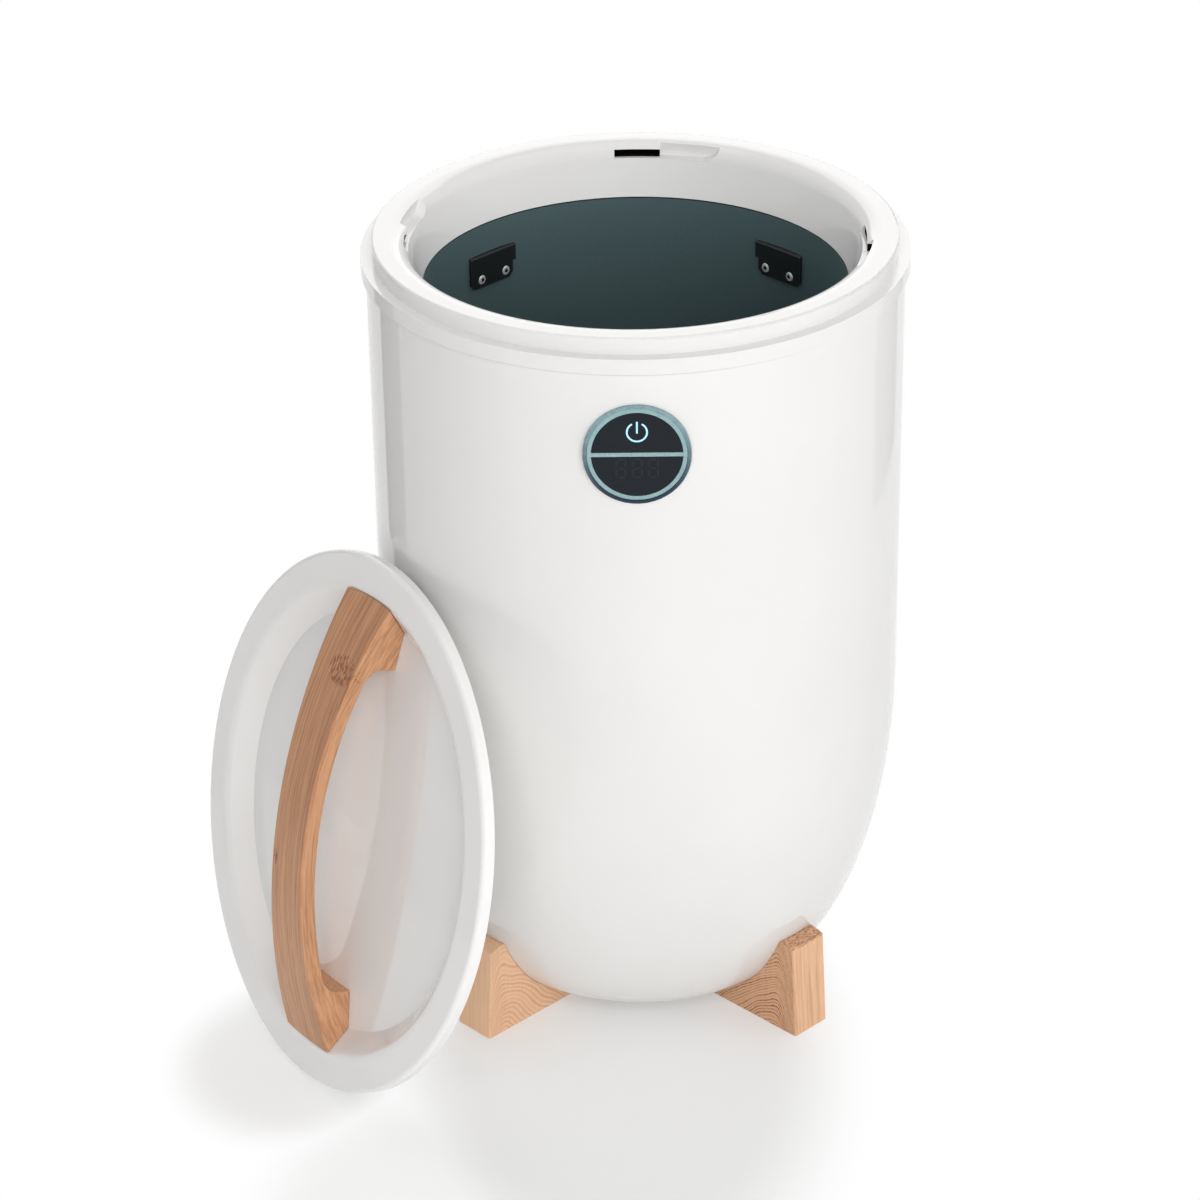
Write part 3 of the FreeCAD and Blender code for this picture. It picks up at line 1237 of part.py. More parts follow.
def make_handle(placement):
    """Bamboo bridge: arched, waisted, with legs shaped to the dish, and its four screws."""
    turned = placement.multiply(turned_by(size.handle_turn.value))
    handle = Piece("lid_handle", turned)
    outer = bow_radius(handle_reach, size.handle_rise)
    inner = outer - size.handle_thick
    blank = handle_reach + size.overrun
    leg_top = size.handle_rise - outer + root(inner * inner - leg_face * leg_face)
    blank_end = size.handle_rise - outer + root(outer * outer - blank * blank)
    low = -(size.dish_depth + size.overrun)
    crown = size.handle_rise - size.handle_thick
    side = handle.sketch("YZ_Plane").start(blank, low)
    side.line(blank, blank_end)
    side.arc(ZERO, size.handle_rise, outer, LEFT)
    side.arc(-blank, blank_end, outer, LEFT)
    side.line(-blank, low)
    side.line(-leg_face, low)
    side.line(-leg_face, leg_top)
    side.arc(ZERO, crown, inner, RIGHT)
    side.arc(leg_face, leg_top, inner, RIGHT)
    side.line(leg_face, low).close()
    handle.pad(side, size.handle_width, both=True)
    near = size.seat_gap.value
    leg, crook = leg_face.value, leg_top.value
    handle.soften(
        "Fillet",
        size.handle_crook,
        lambda e: abs(abs(e.CenterOfMass.y) - leg) < near and abs(e.CenterOfMass.z - crook) < near,
    )
    narrowing = (size.handle_width - size.handle_waist) / 2
    bow = bow_radius(blank, narrowing)
    waist, width = size.handle_waist / 2, size.handle_width / 2
    for way in SIDES:
        cut = handle.sketch("XY_Plane", (0, 0, low)).start(width * way, -blank)
        cut.arc(waist * way, ZERO, bow, -way)
        cut.arc(width * way, blank, bow, -way)
        cut.line((width + size.overrun) * way, blank)
        cut.line((width + size.overrun) * way, -blank).close()
        handle.pocket(cut, size.handle_rise - low + size.overrun, reverse=True)
    wide = dish_radius + size.dish_slant
    foot_reach = dish_floor_radius - size.handle_gap
    floor_edge = size.handle_gap - size.dish_depth
    trim = handle.sketch("XZ_Plane").start(ZERO, low - size.overrun)
    trim.line(wide, low - size.overrun)
    trim.line(wide, size.dish_depth + size.handle_gap)
    trim.line(foot_reach, floor_edge)
    trim.arc(ZERO, floor_edge + size.dish_dome, bow_radius(foot_reach, size.dish_dome), LEFT)
    trim.close()
    handle.groove(trim)
    long_edge = leg_face.value * LONG_EDGE_SHARE
    half_crown = crown.value / 2
    handle.soften(
        "Fillet",
        size.handle_edge,
        lambda e: e.Length > long_edge and e.CenterOfMass.z > half_crown,
    )
    holes = handle.sketch("XY_Plane", (0, 0, low))
    handle_screw_places(holes, size.handle_screw_radius + size.hole_gap)
    screw_seat = dish_floor(handle_screw_place, size.lid_wall) - size.handle_gap * 2
    handle.pocket(holes, screw_seat + size.handle_screw_length + size.handle_gap - low, reverse=True)

    screws = Piece("handle_screws", turned)
    for across in SIDES:
        for along in SIDES:
            place = (
                size.handle_screw_spread * across,
                screw_seat,
                -(handle_screw_place * along),
            )
            make_screw(
                screws,
                place,
                size.handle_screw_head_radius,
                -size.handle_screw_head,
                size.handle_screw_radius,
                size.handle_screw_length,
                0,
            )


def check_and_write():
    """Writes each sub-part to its own file once everything has built soundly."""
    document.recompute()
    for item in document.Objects:
        if "Invalid" in item.State or "Error" in item.State:
            raise RuntimeError(f"{item.Name} failed: {item.State}")
    for body in Piece.made:
        shape = body.Shape
        if shape.isNull() or not shape.isValid() or not shape.Solids:
            raise RuntimeError(f"{body.Label} has no sound shape")
    os.makedirs("parts", exist_ok=True)
    for body in Piece.made:
        body.Shape.exportStep(f"parts/{body.Label}.step")
        print(f"{body.Label}: {len(body.Shape.Solids)} solids, {body.Shape.Volume / 1000:.2f} cm3")


make_outer_shell()
make_collar()
make_liner()
make_liner_surround()
make_liner_sensors()
make_clips()
make_panel()
make_power_button()
make_base()
make_feet()
lid_frame = lid_placement()
make_lid(lid_frame)
make_handle(lid_frame)
check_and_write()
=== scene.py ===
"""Finishes, panel marks, screws, light and camera of a bucket towel warmer.

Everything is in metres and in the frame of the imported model: the origin lies on the floor at the
body's axis, +Z is up and the panel looks along -Y. The lid stands beside the body, leaning on it.
"""
import json
import logging
import math
from collections.abc import Iterable
from dataclasses import dataclass, field
from enum import Enum

import bmesh
import bpy
from mathutils import Matrix, Vector


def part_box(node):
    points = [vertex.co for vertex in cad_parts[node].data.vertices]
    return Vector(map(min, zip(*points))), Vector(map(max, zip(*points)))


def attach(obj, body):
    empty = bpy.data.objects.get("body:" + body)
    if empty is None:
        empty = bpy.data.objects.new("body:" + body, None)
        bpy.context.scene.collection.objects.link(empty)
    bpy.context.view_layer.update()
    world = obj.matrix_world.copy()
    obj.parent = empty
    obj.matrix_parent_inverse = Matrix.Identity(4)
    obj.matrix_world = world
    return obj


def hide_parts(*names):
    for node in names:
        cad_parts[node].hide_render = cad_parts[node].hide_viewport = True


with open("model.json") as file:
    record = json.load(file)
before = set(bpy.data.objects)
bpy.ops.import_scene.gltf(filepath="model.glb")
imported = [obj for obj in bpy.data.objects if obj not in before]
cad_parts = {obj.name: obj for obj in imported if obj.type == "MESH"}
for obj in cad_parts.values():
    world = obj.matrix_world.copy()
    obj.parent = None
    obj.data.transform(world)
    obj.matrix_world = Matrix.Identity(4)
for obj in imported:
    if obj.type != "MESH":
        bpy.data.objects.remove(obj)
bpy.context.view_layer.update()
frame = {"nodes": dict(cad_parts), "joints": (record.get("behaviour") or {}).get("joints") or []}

log = logging.getLogger("towel_warmer")

MM = 0.001
UP = Vector((0.0, 0.0, 1.0))
SHARP_ANGLE = math.radians(32.0)

Triple = tuple[float, float, float]
Colour = tuple[float, float, float, float]
Node = bpy.types.Node
Socket = bpy.types.NodeSocket
Sockets = dict[str, Socket]
Feed = Socket | float | tuple


def tone(red: int, green: int, blue: int) -> Colour:
    """A colour as a paint chart gives it, made linear for the shaders.

    Args:
        red: Red from 0 to 255.
        green: Green from 0 to 255.
        blue: Blue from 0 to 255.

    Returns:
        The linear colour, opaque.
    """
    parts = [part / 255 for part in (red, green, blue)]
    linear = [part / 12.92 if part <= 0.04045 else ((part + 0.055) / 1.055) ** 2.4 for part in parts]
    return (*linear, 1.0)


class Tree:
    """Lays shader nodes into one node tree and joins them."""

    def __init__(self, nodes: bpy.types.NodeTree) -> None:
        """Keeps the node tree that is filled."""
        self.nodes = nodes

    def add(self, kind: str, feeds: dict[str | int, Feed] | None = None, **settings: object) -> Node:
        """Adds one node.

        Args:
            kind: The node's type.
            feeds: What each input gets: a socket to join, or a plain value.
            settings: The node's own properties.

        Returns:
            The new node.
        """
        node = self.nodes.nodes.new(kind)
        for name, value in settings.items():
            setattr(node, name, value)
        for key, feed in (feeds or {}).items():
            self.feed(node.inputs[key], feed)
        return node

    def feed(self, socket: Socket, feed: Feed) -> None:
        """Joins a socket to an input, or sets the input's value.

        Args:
            socket: The input.
            feed: The socket that is joined to it, or a plain value.
        """
        if isinstance(feed, Socket):
            self.nodes.links.new(feed, socket)
        else:
            socket.default_value = feed

    def sum(self, operation: str, first: Feed, second: Feed = 0.0, third: Feed = 0.0) -> Socket:
        """A number worked out from up to three others."""
        return self.add("ShaderNodeMath", {0: first, 1: second, 2: third}, operation=operation).outputs[0]

    def times(self, first: Feed, second: Feed) -> Socket:
        """Two numbers multiplied."""
        return self.sum("MULTIPLY", first, second)

    def fused(self, first: Feed, second: Feed, third: Feed) -> Socket:
        """Two numbers multiplied, and a third one added."""
        return self.sum("MULTIPLY_ADD", first, second, third)

    def distance(self, first: Socket, second: Socket) -> Socket:
        """How far two offsets at right angles lead."""
        return self.sum("SQRT", self.fused(first, first, self.times(second, second)))

    def lot(self, value: Feed) -> Socket:
        """A random number that is the same within each whole step of a value."""
        feeds = {"W": self.sum("FLOOR", value)}
        return self.add("ShaderNodeTexWhiteNoise", feeds, noise_dimensions="1D").outputs["Value"]

    def gauge(self, operation: str, first: Feed, second: Feed = (0.0, 0.0, 0.0)) -> Socket:
        """A number worked out from one or two vectors."""
        return self.add("ShaderNodeVectorMath", {0: first, 1: second}, operation=operation).outputs["Value"]

    def vector(self, operation: str, first: Feed, second: Feed) -> Socket:
        """A vector worked out from two others."""
        return self.add("ShaderNodeVectorMath", {0: first, 1: second}, operation=operation).outputs["Vector"]

    def split(self, vector: Socket) -> list[Socket]:
        """The three parts of a vector."""
        return list(self.add("ShaderNodeSeparateXYZ", {0: vector}).outputs)

    def joined(self, across: Feed, along: Feed, up: Feed) -> Socket:
        """A vector made of three numbers."""
        return self.add("ShaderNodeCombineXYZ", {0: across, 1: along, 2: up}).outputs[0]

    def noise(self, place: Feed, scale: Feed, detail: float = 2.0, warp: float = 0.0) -> Socket:
        """Soft noise from 0 to 1 over a place."""
        feeds = {"Vector": place, "Scale": scale, "Detail": detail, "Distortion": warp}
        return self.add("ShaderNodeTexNoise", feeds).outputs["Fac"]

    def ramp(self, value: Feed, start: Feed, end: Feed, low: Feed = 0.0, high: Feed = 1.0) -> Socket:
        """A smooth step from low to high while the value goes from start to end."""
        feeds = {"Value": value, "From Min": start, "From Max": end, "To Min": low, "To Max": high}
        return self.add("ShaderNodeMapRange", feeds, interpolation_type="SMOOTHSTEP").outputs["Result"]

    def mix(self, share: Feed, first: Feed, second: Feed) -> Socket:
        """A colour between two others."""
        return self.add("ShaderNodeMix", {0: share, 6: first, 7: second}, data_type="RGBA").outputs[2]

    def blend(self, share: Feed, first: Feed, second: Feed) -> Socket:
        """A number between two others."""
        return self.add("ShaderNodeMix", {0: share, 2: first, 3: second}).outputs[0]

    def place(self) -> Socket:
        """The place on the object, in the frame's metres."""
        return self.add("ShaderNodeTexCoord").outputs["Object"]

    def seen_from(self, place: Socket, origin: Vector, turn: Iterable[float]) -> Socket:
        """A place as seen from an origin in a turned frame."""
        feeds = {"Vector": place, "Location": tuple(origin), "Rotation": tuple(turn)}
        return self.add("ShaderNodeMapping", feeds, vector_type="TEXTURE").outputs[0]

    def stretched(self, place: Feed, scale: Triple) -> Socket:
        """A place scaled by its own factor along each axis."""
        return self.vector("MULTIPLY", place, scale)


class SocketKind(Enum):
    """What a socket of a node group carries."""

    COLOUR = "NodeSocketColor"
    VALUE = "NodeSocketFloat"
    PLACE = "NodeSocketVector"

    @classmethod
    def of(cls, value: float | tuple) -> "SocketKind":
        """The kind of socket for a value: a number, a place of three or a colour of four."""
        return {0: cls.VALUE, 3: cls.PLACE, 4: cls.COLOUR}[len(value) if isinstance(value, tuple) else 0]


MASK = {"Mask": SocketKind.VALUE}
SURFACE = {"Colour": SocketKind.COLOUR, "Roughness": SocketKind.VALUE, "Height": SocketKind.VALUE}


class Effect:
    """One look that several materials share, kept as a shader node group."""

    title = ""
    takes: dict[str, float | tuple] = {}
    gives: dict[str, SocketKind] = MASK

    def lay(self, tree: Tree, given: Sockets) -> dict[str, Feed]:
        """Lays the group's nodes; each effect has its own.

        Args:
            tree: The group's tree.
            given: The group's inputs by name.

        Returns:
            What each of the group's outputs gets.
        """
        raise NotImplementedError

    def group(self) -> bpy.types.NodeTree:
        """The node group, built the first time that it is needed.

        Returns:
            The shared node group.
        """
        if self.title in bpy.data.node_groups:
            return bpy.data.node_groups[self.title]
        group = bpy.data.node_groups.new(self.title, "ShaderNodeTree")
        for name, value in self.takes.items():
            kind = SocketKind.of(value)
            group.interface.new_socket(name, in_out="INPUT", socket_type=kind.value).default_value = value
        for name, kind in self.gives.items():
            group.interface.new_socket(name, in_out="OUTPUT", socket_type=kind.value)
        tree = Tree(group)
        entry = tree.add("NodeGroupInput")
        made = self.lay(tree, {name: entry.outputs[name] for name in self.takes})
        tree.add("NodeGroupOutput", made)
        return group

    def put(self, tree: Tree, **values: Feed) -> Sockets:
        """Places the group in a material with its own values, and gives its outputs by name."""
        node = tree.add("ShaderNodeGroup", values, node_tree=self.group())
        return {name: node.outputs[name] for name in self.gives}


class MouldTone(Effect):
    """Moulded plastic: tone that drifts a little, handling marks in the gloss and a fine orange peel."""

    title = "mould_tone"
    takes = {
        "Colour": (0.8, 0.8, 0.8, 1.0), "Shade": (0.7, 0.7, 0.7, 1.0), "Drift": 0.2, "Gloss": 0.2,
        "Marks": 0.05, "Peel": 900.0,
    }
    gives = SURFACE

    def lay(self, tree: Tree, given: Sockets) -> dict[str, Feed]:
        """Lays the tone, gloss and peel; see Effect.lay."""
        place = tree.place()
        broad = tree.ramp(tree.noise(place, 9.0, 3.0), 0.3, 0.75)
        fine = tree.noise(place, given["Peel"], 3.0)
        share = tree.times(tree.fused(fine, 0.35, broad), given["Drift"])
        wiped = tree.ramp(tree.noise(tree.stretched(place, (1.0, 1.0, 0.45)), 31.0, 5.0, 0.6), 0.45, 0.8)
        return {
            "Colour": tree.mix(share, given["Colour"], given["Shade"]),
            "Roughness": tree.fused(wiped, given["Marks"], given["Gloss"]),
            "Height": fine,
        }


class Speckle(Effect):
    """Small flecks of a second colour, with their own gloss, as in coatings, felt and ceramics."""

    title = "speckle"
    takes = {
        "Colour": (0.1, 0.1, 0.1, 1.0), "Fleck": (0.3, 0.3, 0.3, 1.0), "Amount": 0.4, "Size": 1200.0,
        "Gloss": 0.5,
    }
    gives = SURFACE

    def lay(self, tree: Tree, given: Sockets) -> dict[str, Feed]:
        """Lays the flecks over a cloudy ground; see Effect.lay."""
        place = tree.place()
        grit = tree.noise(place, given["Size"], 4.0)
        cloud = tree.noise(place, 18.0, 3.0)
        flecks = tree.ramp(grit, 0.5, 0.72)
        share = tree.times(tree.fused(cloud, 0.3, flecks), given["Amount"])
        return {
            "Colour": tree.mix(share, given["Colour"], given["Fleck"]),
            "Roughness": tree.fused(grit, 0.16, given["Gloss"]),
            "Height": grit,
        }


class MetalGrain(Effect):
    """Drawn or turned metal: fine streaks in colour and gloss, with soft blotches."""

    title = "metal_grain"
    takes = {
        "Colour": (0.6, 0.6, 0.6, 1.0), "Streak": (0.4, 0.4, 0.4, 1.0), "Along": (1.0, 1.0, 0.02),
        "Scale": 900.0, "Gloss": 0.25,
    }
    gives = SURFACE

    def lay(self, tree: Tree, given: Sockets) -> dict[str, Feed]:
        """Lays the streaks along the grain; see Effect.lay."""
        place = tree.place()
        streaks = tree.noise(tree.vector("MULTIPLY", place, given["Along"]), given["Scale"], 4.0)
        blotches = tree.noise(place, 140.0, 3.0)
        share = tree.ramp(tree.fused(blotches, 0.4, streaks), 0.45, 1.0)
        return {
            "Colour": tree.mix(share, given["Colour"], given["Streak"]),
            "Roughness": tree.fused(streaks, 0.14, given["Gloss"]),
            "Height": streaks,
        }


class EdgeWear(Effect):
    """A mask along outer edges, broken up as handling wears them."""

    title = "edge_wear"
    takes = {"Reach": 0.0008, "Break": 260.0}

    def lay(self, tree: Tree, given: Sockets) -> dict[str, Feed]:
        """Compares the rounded normal with the true one; see Effect.lay."""
        true_normal = tree.add("ShaderNodeNewGeometry").outputs["Normal"]
        rounded = tree.add("ShaderNodeBevel", {"Radius": given["Reach"]}, samples=4).outputs[0]
        edge = tree.ramp(tree.gauge("DOT_PRODUCT", true_normal, rounded), 0.995, 0.85)
        broken = tree.ramp(tree.noise(tree.place(), given["Break"], 3.0), 0.35, 0.65)
        return {"Mask": tree.times(edge, broken)}


class SettledDust(Effect):
    """A mask of fine dust on the faces that look up."""

    title = "settled_dust"
    takes = {"Amount": 0.1}

    def lay(self, tree: Tree, given: Sockets) -> dict[str, Feed]:
        """Lays motes over a thin film; see Effect.lay."""
        up = tree.split(tree.add("ShaderNodeNewGeometry").outputs["Normal"])[2]
        facing = tree.ramp(up, 0.55, 1.0)
        place = tree.place()
        motes = tree.ramp(tree.noise(place, 1500.0, 2.0), 0.62, 0.78)
        film = tree.noise(place, 22.0, 4.0)
        cover = tree.fused(motes, 0.7, film)
        return {"Mask": tree.times(tree.times(cover, facing), given["Amount"])}


class PaintedHollowShade(Effect):
    """A mask of painted shade on a hidden side: between two radii, between two heights and within a reach of
    the axes.
    """

    title = "painted_hollow_shade"
    takes = {
        "Inner": 0.1, "Outer": 0.2, "Low": 0.0, "High": 0.5, "Reach": 1.0,
    }

    def lay(self, tree: Tree, given: Sockets) -> dict[str, Feed]:
        """Cuts the ring out by reach, by radius and by height; see Effect.lay."""
        across, along, up = tree.split(tree.place())
        radius = tree.distance(across, along)
        near = tree.sum("MINIMUM", tree.sum("ABSOLUTE", across), tree.sum("ABSOLUTE", along))
        mask: Feed = tree.sum("LESS_THAN", near, given["Reach"])
        for value, low, high in ((radius, "Inner", "Outer"), (up, "Low", "High")):
            for side, limit in (("GREATER_THAN", low), ("LESS_THAN", high)):
                mask = tree.times(mask, tree.sum(side, value, given[limit]))
        return {"Mask": mask}


class WoodRings(Effect):
    """Sawn wood: growth rings that arch on the broad faces, straight grain on the narrow one.

    The rings climb with the height, the way out and the distance from the tree's heart, which is
    blunt and flattened; they bend slowly and ripple finely.
    """

    title = "wood_rings"
    climb, lean, bowl = 0.36, 0.445, 0.755
    flatten, blunt = 0.1, 4.0e-6
    bend, ripple = 7.0 * MM, 0.3 * MM
    ground, cloud, fibre, pale_share = 0.22, 0.16, 0.24, 0.18
    takes = {
        "Place": (0.0, 0.0, 0.0), "Facing": (0.0, 0.0, 0.0), "Pale": (0.6, 0.4, 0.2, 1.0),
        "Dark": (0.3, 0.15, 0.07, 1.0), "Figure": 0.6, "Break": 0.3, "Ring": 0.0012,
    }
    gives = SURFACE

    def rings(self, tree: Tree, given: Sockets) -> Socket:
        """The dark lines of late growth on a flat-sawn face.

        Args:
            tree: The group's tree.
            given: The group's inputs by name.

        Returns:
            A mask of the lines.
        """
        place = given["Place"]
        out, side, height = tree.split(place)
        bend = tree.noise(tree.stretched(place, (1.0, 0.5, 0.7)), 34.0, 1.0)
        ripple = tree.noise(tree.stretched(place, (1.0, 0.6, 0.45)), 260.0, 2.0)
        deep = tree.fused(tree.times(side, self.flatten), side, self.blunt)
        heart = tree.sum("SQRT", tree.fused(out, out, deep))
        outward = tree.fused(out, self.lean, tree.times(heart, self.bowl))
        arch = tree.fused(height, self.climb, outward)
        warped = tree.fused(bend, self.bend, tree.fused(ripple, self.ripple, arch))
        phase = tree.sum("DIVIDE", warped, given["Ring"])
        within = tree.sum("FRACT", phase)
        late = tree.times(tree.ramp(within, 0.2, 0.75), tree.ramp(within, 1.0, 0.86))
        strong = tree.fused(tree.lot(phase), 0.75, 0.25)
        dashes = tree.ramp(tree.noise(tree.stretched(place, (1.0, 1.0, 0.7)), 900.0, 2.0), 0.42, 0.58)
        whole = tree.sum("SUBTRACT", 1.0, given["Break"])
        broken = tree.fused(dashes, given["Break"], whole)
        return tree.times(tree.times(late, strong), broken)

    def lay(self, tree: Tree, given: Sockets) -> dict[str, Feed]:
        """Lays rings, fibres and flecks in the piece's own frame, grain along Z; see Effect.lay."""
        place = given["Place"]
        outward, _, upward = tree.split(given["Facing"])
        narrow = tree.ramp(outward, 0.6, 0.85)
        crown = tree.ramp(upward, 0.25, 0.5)
        fibres = tree.noise(tree.stretched(place, (1.0, 1.0, 0.04)), 900.0, 3.0)
        bands = tree.noise(tree.stretched(place, (0.2, 1.0, 0.03)), 620.0, 3.0)
        straight = tree.times(tree.ramp(bands, 0.42, 0.7), 0.3)
        pores = tree.noise(tree.stretched(place, (1.0, 0.3, 0.6)), 1300.0, 2.0)
        flecks = tree.ramp(pores, 0.38, 0.62, 0.0, tree.times(given["Break"], 1.4))
        edge = tree.blend(narrow, self.rings(tree, given), straight)
        drawn = tree.blend(crown, edge, flecks)
        ground = tree.fused(narrow, -self.ground, self.ground)
        lines = tree.times(tree.sum("ADD", drawn, ground), given["Figure"])
        cloud = tree.noise(tree.stretched(place, (1.0, 1.0, 0.5)), 60.0, 2.0)
        broad = tree.fused(cloud, self.cloud, tree.times(fibres, self.fibre))
        share = tree.sum("SUBTRACT", tree.sum("ADD", lines, broad), self.pale_share)
        return {
            "Colour": tree.mix(share, given["Pale"], given["Dark"]),
            "Roughness": tree.fused(fibres, 0.16, 0.42),
            "Height": tree.sum("SUBTRACT", tree.times(fibres, 0.3), lines),
        }


class BambooFibre(Effect):
    """Laminated bamboo: strips of slightly different tone, with fibre bundles along them.

    The strips sway and lean inwards; boards, bundles, glue seams and the joint flecks darken them, and
    so does the skin on the outer face, with painted shade that darkens it more towards one end, where
    less light falls.
    """

    title = "bamboo_fibre"
    sway, lean = 2.0 * MM, 0.35
    boards, bundles, seams, flecks = 0.16, 0.5, 0.14, 0.8
    # the outer face's darker skin; its share grows along the run as painted shade towards one end
    skin, skin_depth, skin_run = 0.24, (-0.9 * MM, -0.3 * MM), (-120.0 * MM, 80.0 * MM)
    takes = {
        "Place": (0.0, 0.0, 0.0), "Pale": (0.6, 0.4, 0.2, 1.0), "Dark": (0.3, 0.15, 0.07, 1.0),
        "Strip": 0.006, "Marks": 0.0,
    }
    gives = SURFACE

    def lay(self, tree: Tree, given: Sockets) -> dict[str, Feed]:
        """Lays strips and fibres; the place holds length, width and depth; see Effect.lay."""
        place = given["Place"]
        length, width, depth = tree.split(place)
        sway = tree.noise(tree.stretched(place, (1.0, 0.2, 0.2)), 9.0, 1.0)
        across = tree.fused(sway, self.sway, tree.fused(depth, self.lean, width))
        strip = tree.sum("DIVIDE", across, given["Strip"])
        joint = tree.ramp(tree.sum("PINGPONG", strip, 0.5), 0.045, 0.0)
        swayed = tree.joined(tree.times(length, 0.018), across, depth)
        coarse = tree.noise(swayed, 560.0, 2.0)
        fine = tree.noise(tree.stretched(swayed, (1.8, 1.0, 1.0)), 1900.0, 2.0)
        bundles = tree.ramp(tree.fused(coarse, 0.6, tree.times(fine, 0.4)), 0.36, 0.68)
        boards = tree.fused(tree.lot(strip), self.boards, tree.times(bundles, self.bundles))
        seams = tree.fused(joint, self.seams, boards)
        # darker skin on the outer face, with painted shade that grows along the arc towards one end
        skin = tree.ramp(depth, *self.skin_depth, 0.0, tree.ramp(length, *self.skin_run, 0.0, self.skin))
        share = tree.fused(given["Marks"], self.flecks, tree.sum("ADD", seams, skin))
        return {
            "Colour": tree.mix(share, given["Pale"], given["Dark"]),
            "Roughness": tree.fused(fine, 0.14, 0.36),
            "Height": tree.sum("SUBTRACT", tree.times(fine, 0.35), tree.times(share, 0.8)),
        }


class JointFlecks(Effect):
    """The mark of a bamboo joint: a patch of dense short flecks along the grain."""

    title = "joint_flecks"
    takes = {
        "Place": (0.0, 0.0, 0.0), "Centre": (0.0, 0.0, 0.0), "Reach": (100.0, 100.0, 100.0),
    }

    def lay(self, tree: Tree, given: Sockets) -> dict[str, Feed]:
        """Lays flecks inside a soft-edged patch; see Effect.lay."""
        place = given["Place"]
        offset = tree.vector("MULTIPLY", tree.vector("SUBTRACT", place, given["Centre"]), given["Reach"])
        ragged = tree.fused(tree.noise(place, 380.0, 3.0), 0.6, tree.gauge("LENGTH", offset))
        patch = tree.ramp(ragged, 1.4, 1.05)
        dashes = tree.noise(tree.stretched(place, (0.3, 1.0, 0.2)), 640.0, 1.0, 0.5)
        return {"Mask": tree.times(patch, tree.ramp(dashes, 0.45, 0.58))}


@dataclass(frozen=True)
class Finish:
    """A surface finish, made into a material of nodes."""

    name: str

    def paint(self, tree: Tree, shader: Node) -> None:
        """Lays the finish's nodes; each kind has its own.

        Args:
            tree: The material's tree.
            shader: The material's surface shader.
        """
        raise NotImplementedError

    def material(self) -> bpy.types.Material:
        """The finish's material, made the first time that it is needed.

        Returns:
            The material.
        """
        name = f"finish_{self.name}"
        if name in bpy.data.materials:
            return bpy.data.materials[name]
        material = bpy.data.materials.new(name)
        material.use_nodes = True
        tree = Tree(material.node_tree)
        self.paint(tree, material.node_tree.nodes["Principled BSDF"])
        return material

    def surface(self, tree: Tree, shader: Node, look: Sockets, depth: float, plain: dict[str, float]) -> None:
        """Joins a laid look to the surface shader.

        Args:
            tree: The material's tree.
            shader: The material's surface shader.
            look: The look's Colour, Roughness and Height.
            depth: How deep the relief of its Height is.
            plain: What other sockets get, where it is the same all over.
        """
        bump = tree.add("ShaderNodeBump", {"Strength": 1.0, "Distance": depth, "Height": look["Height"]})
        feeds = {
            "Base Color": look["Colour"], "Roughness": look["Roughness"], "Normal": bump.outputs["Normal"],
        }
        for name, feed in {**feeds, **plain}.items():
            tree.feed(shader.inputs[name], feed)

    def edged(self, tree: Tree, colour: Socket, worn: Colour, reach: float, share: float = 1.0) -> Socket:
        """A colour with a share of a second one along its edges, as far as these reach."""
        mask = EdgeWear().put(tree, Reach=reach)["Mask"]
        return tree.mix(mask if share == 1.0 else tree.times(mask, share), colour, worn)


@dataclass(frozen=True)
class Plastic(Finish):
    """Moulded plastic, from high gloss to matt."""

    colour: Colour
    shade: Colour
    gloss: float = 0.2
    marks: float = 0.06
    drift: float = 0.25
    peel: float = 900.0
    depth: float = 2e-6
    dust: float = 0.0
    worn: Colour | None = None
    index: float = 1.48
    # painted shadow: a thin dark line at this height, with its edges and share
    skirt_shadow_height: float | None = None
    skirt_shadow_edges: tuple[float, float] = (0.6 * MM, 0.2 * MM)
    skirt_shadow_share: float = 0.36
    # painted shade: hidden sides painted dark, each given by its radii, heights and reach
    shaded_hollows: tuple[dict[str, float], ...] = ()

    def paint(self, tree: Tree, shader: Node) -> None:
        """Lays the moulded tone, then worn edges, a painted shadow line, dust and painted shade in hollows;
        see Finish.paint.
        """
        mould = MouldTone().put(
            tree, Colour=self.colour, Shade=self.shade, Drift=self.drift, Gloss=self.gloss,
            Marks=self.marks, Peel=self.peel,
        )
        colour, rough = mould["Colour"], mould["Roughness"]
        if self.worn:
            colour = self.edged(tree, colour, self.worn, PLASTIC_EDGE)
        # painted shadow: a thin dark line where the collar's skirt shades the shell
        if self.skirt_shadow_height is not None:
            away = tree.sum("ABSOLUTE", tree.sum("SUBTRACT", tree.split(tree.place())[2], self.skirt_shadow_height))
            line = tree.ramp(away, *self.skirt_shadow_edges, 0.0, self.skirt_shadow_share)
            colour = tree.mix(line, colour, SKIRT_PAINTED_SHADOW)
        if self.dust:
            dust = SettledDust().put(tree, Amount=self.dust)["Mask"]
            colour = tree.mix(dust, colour, DUST)
            rough = tree.fused(dust, DUST_ROUGHNESS, rough)
        # painted shade on hidden inner sides and slot walls, where shade falls
        for shaded_hollow in self.shaded_hollows:
            colour = tree.mix(PaintedHollowShade().put(tree, **shaded_hollow)["Mask"], colour, HOLLOW_PAINTED_SHADE)
        look = {**mould, "Colour": colour, "Roughness": rough}
        self.surface(tree, shader, look, self.depth, {"IOR": self.index})


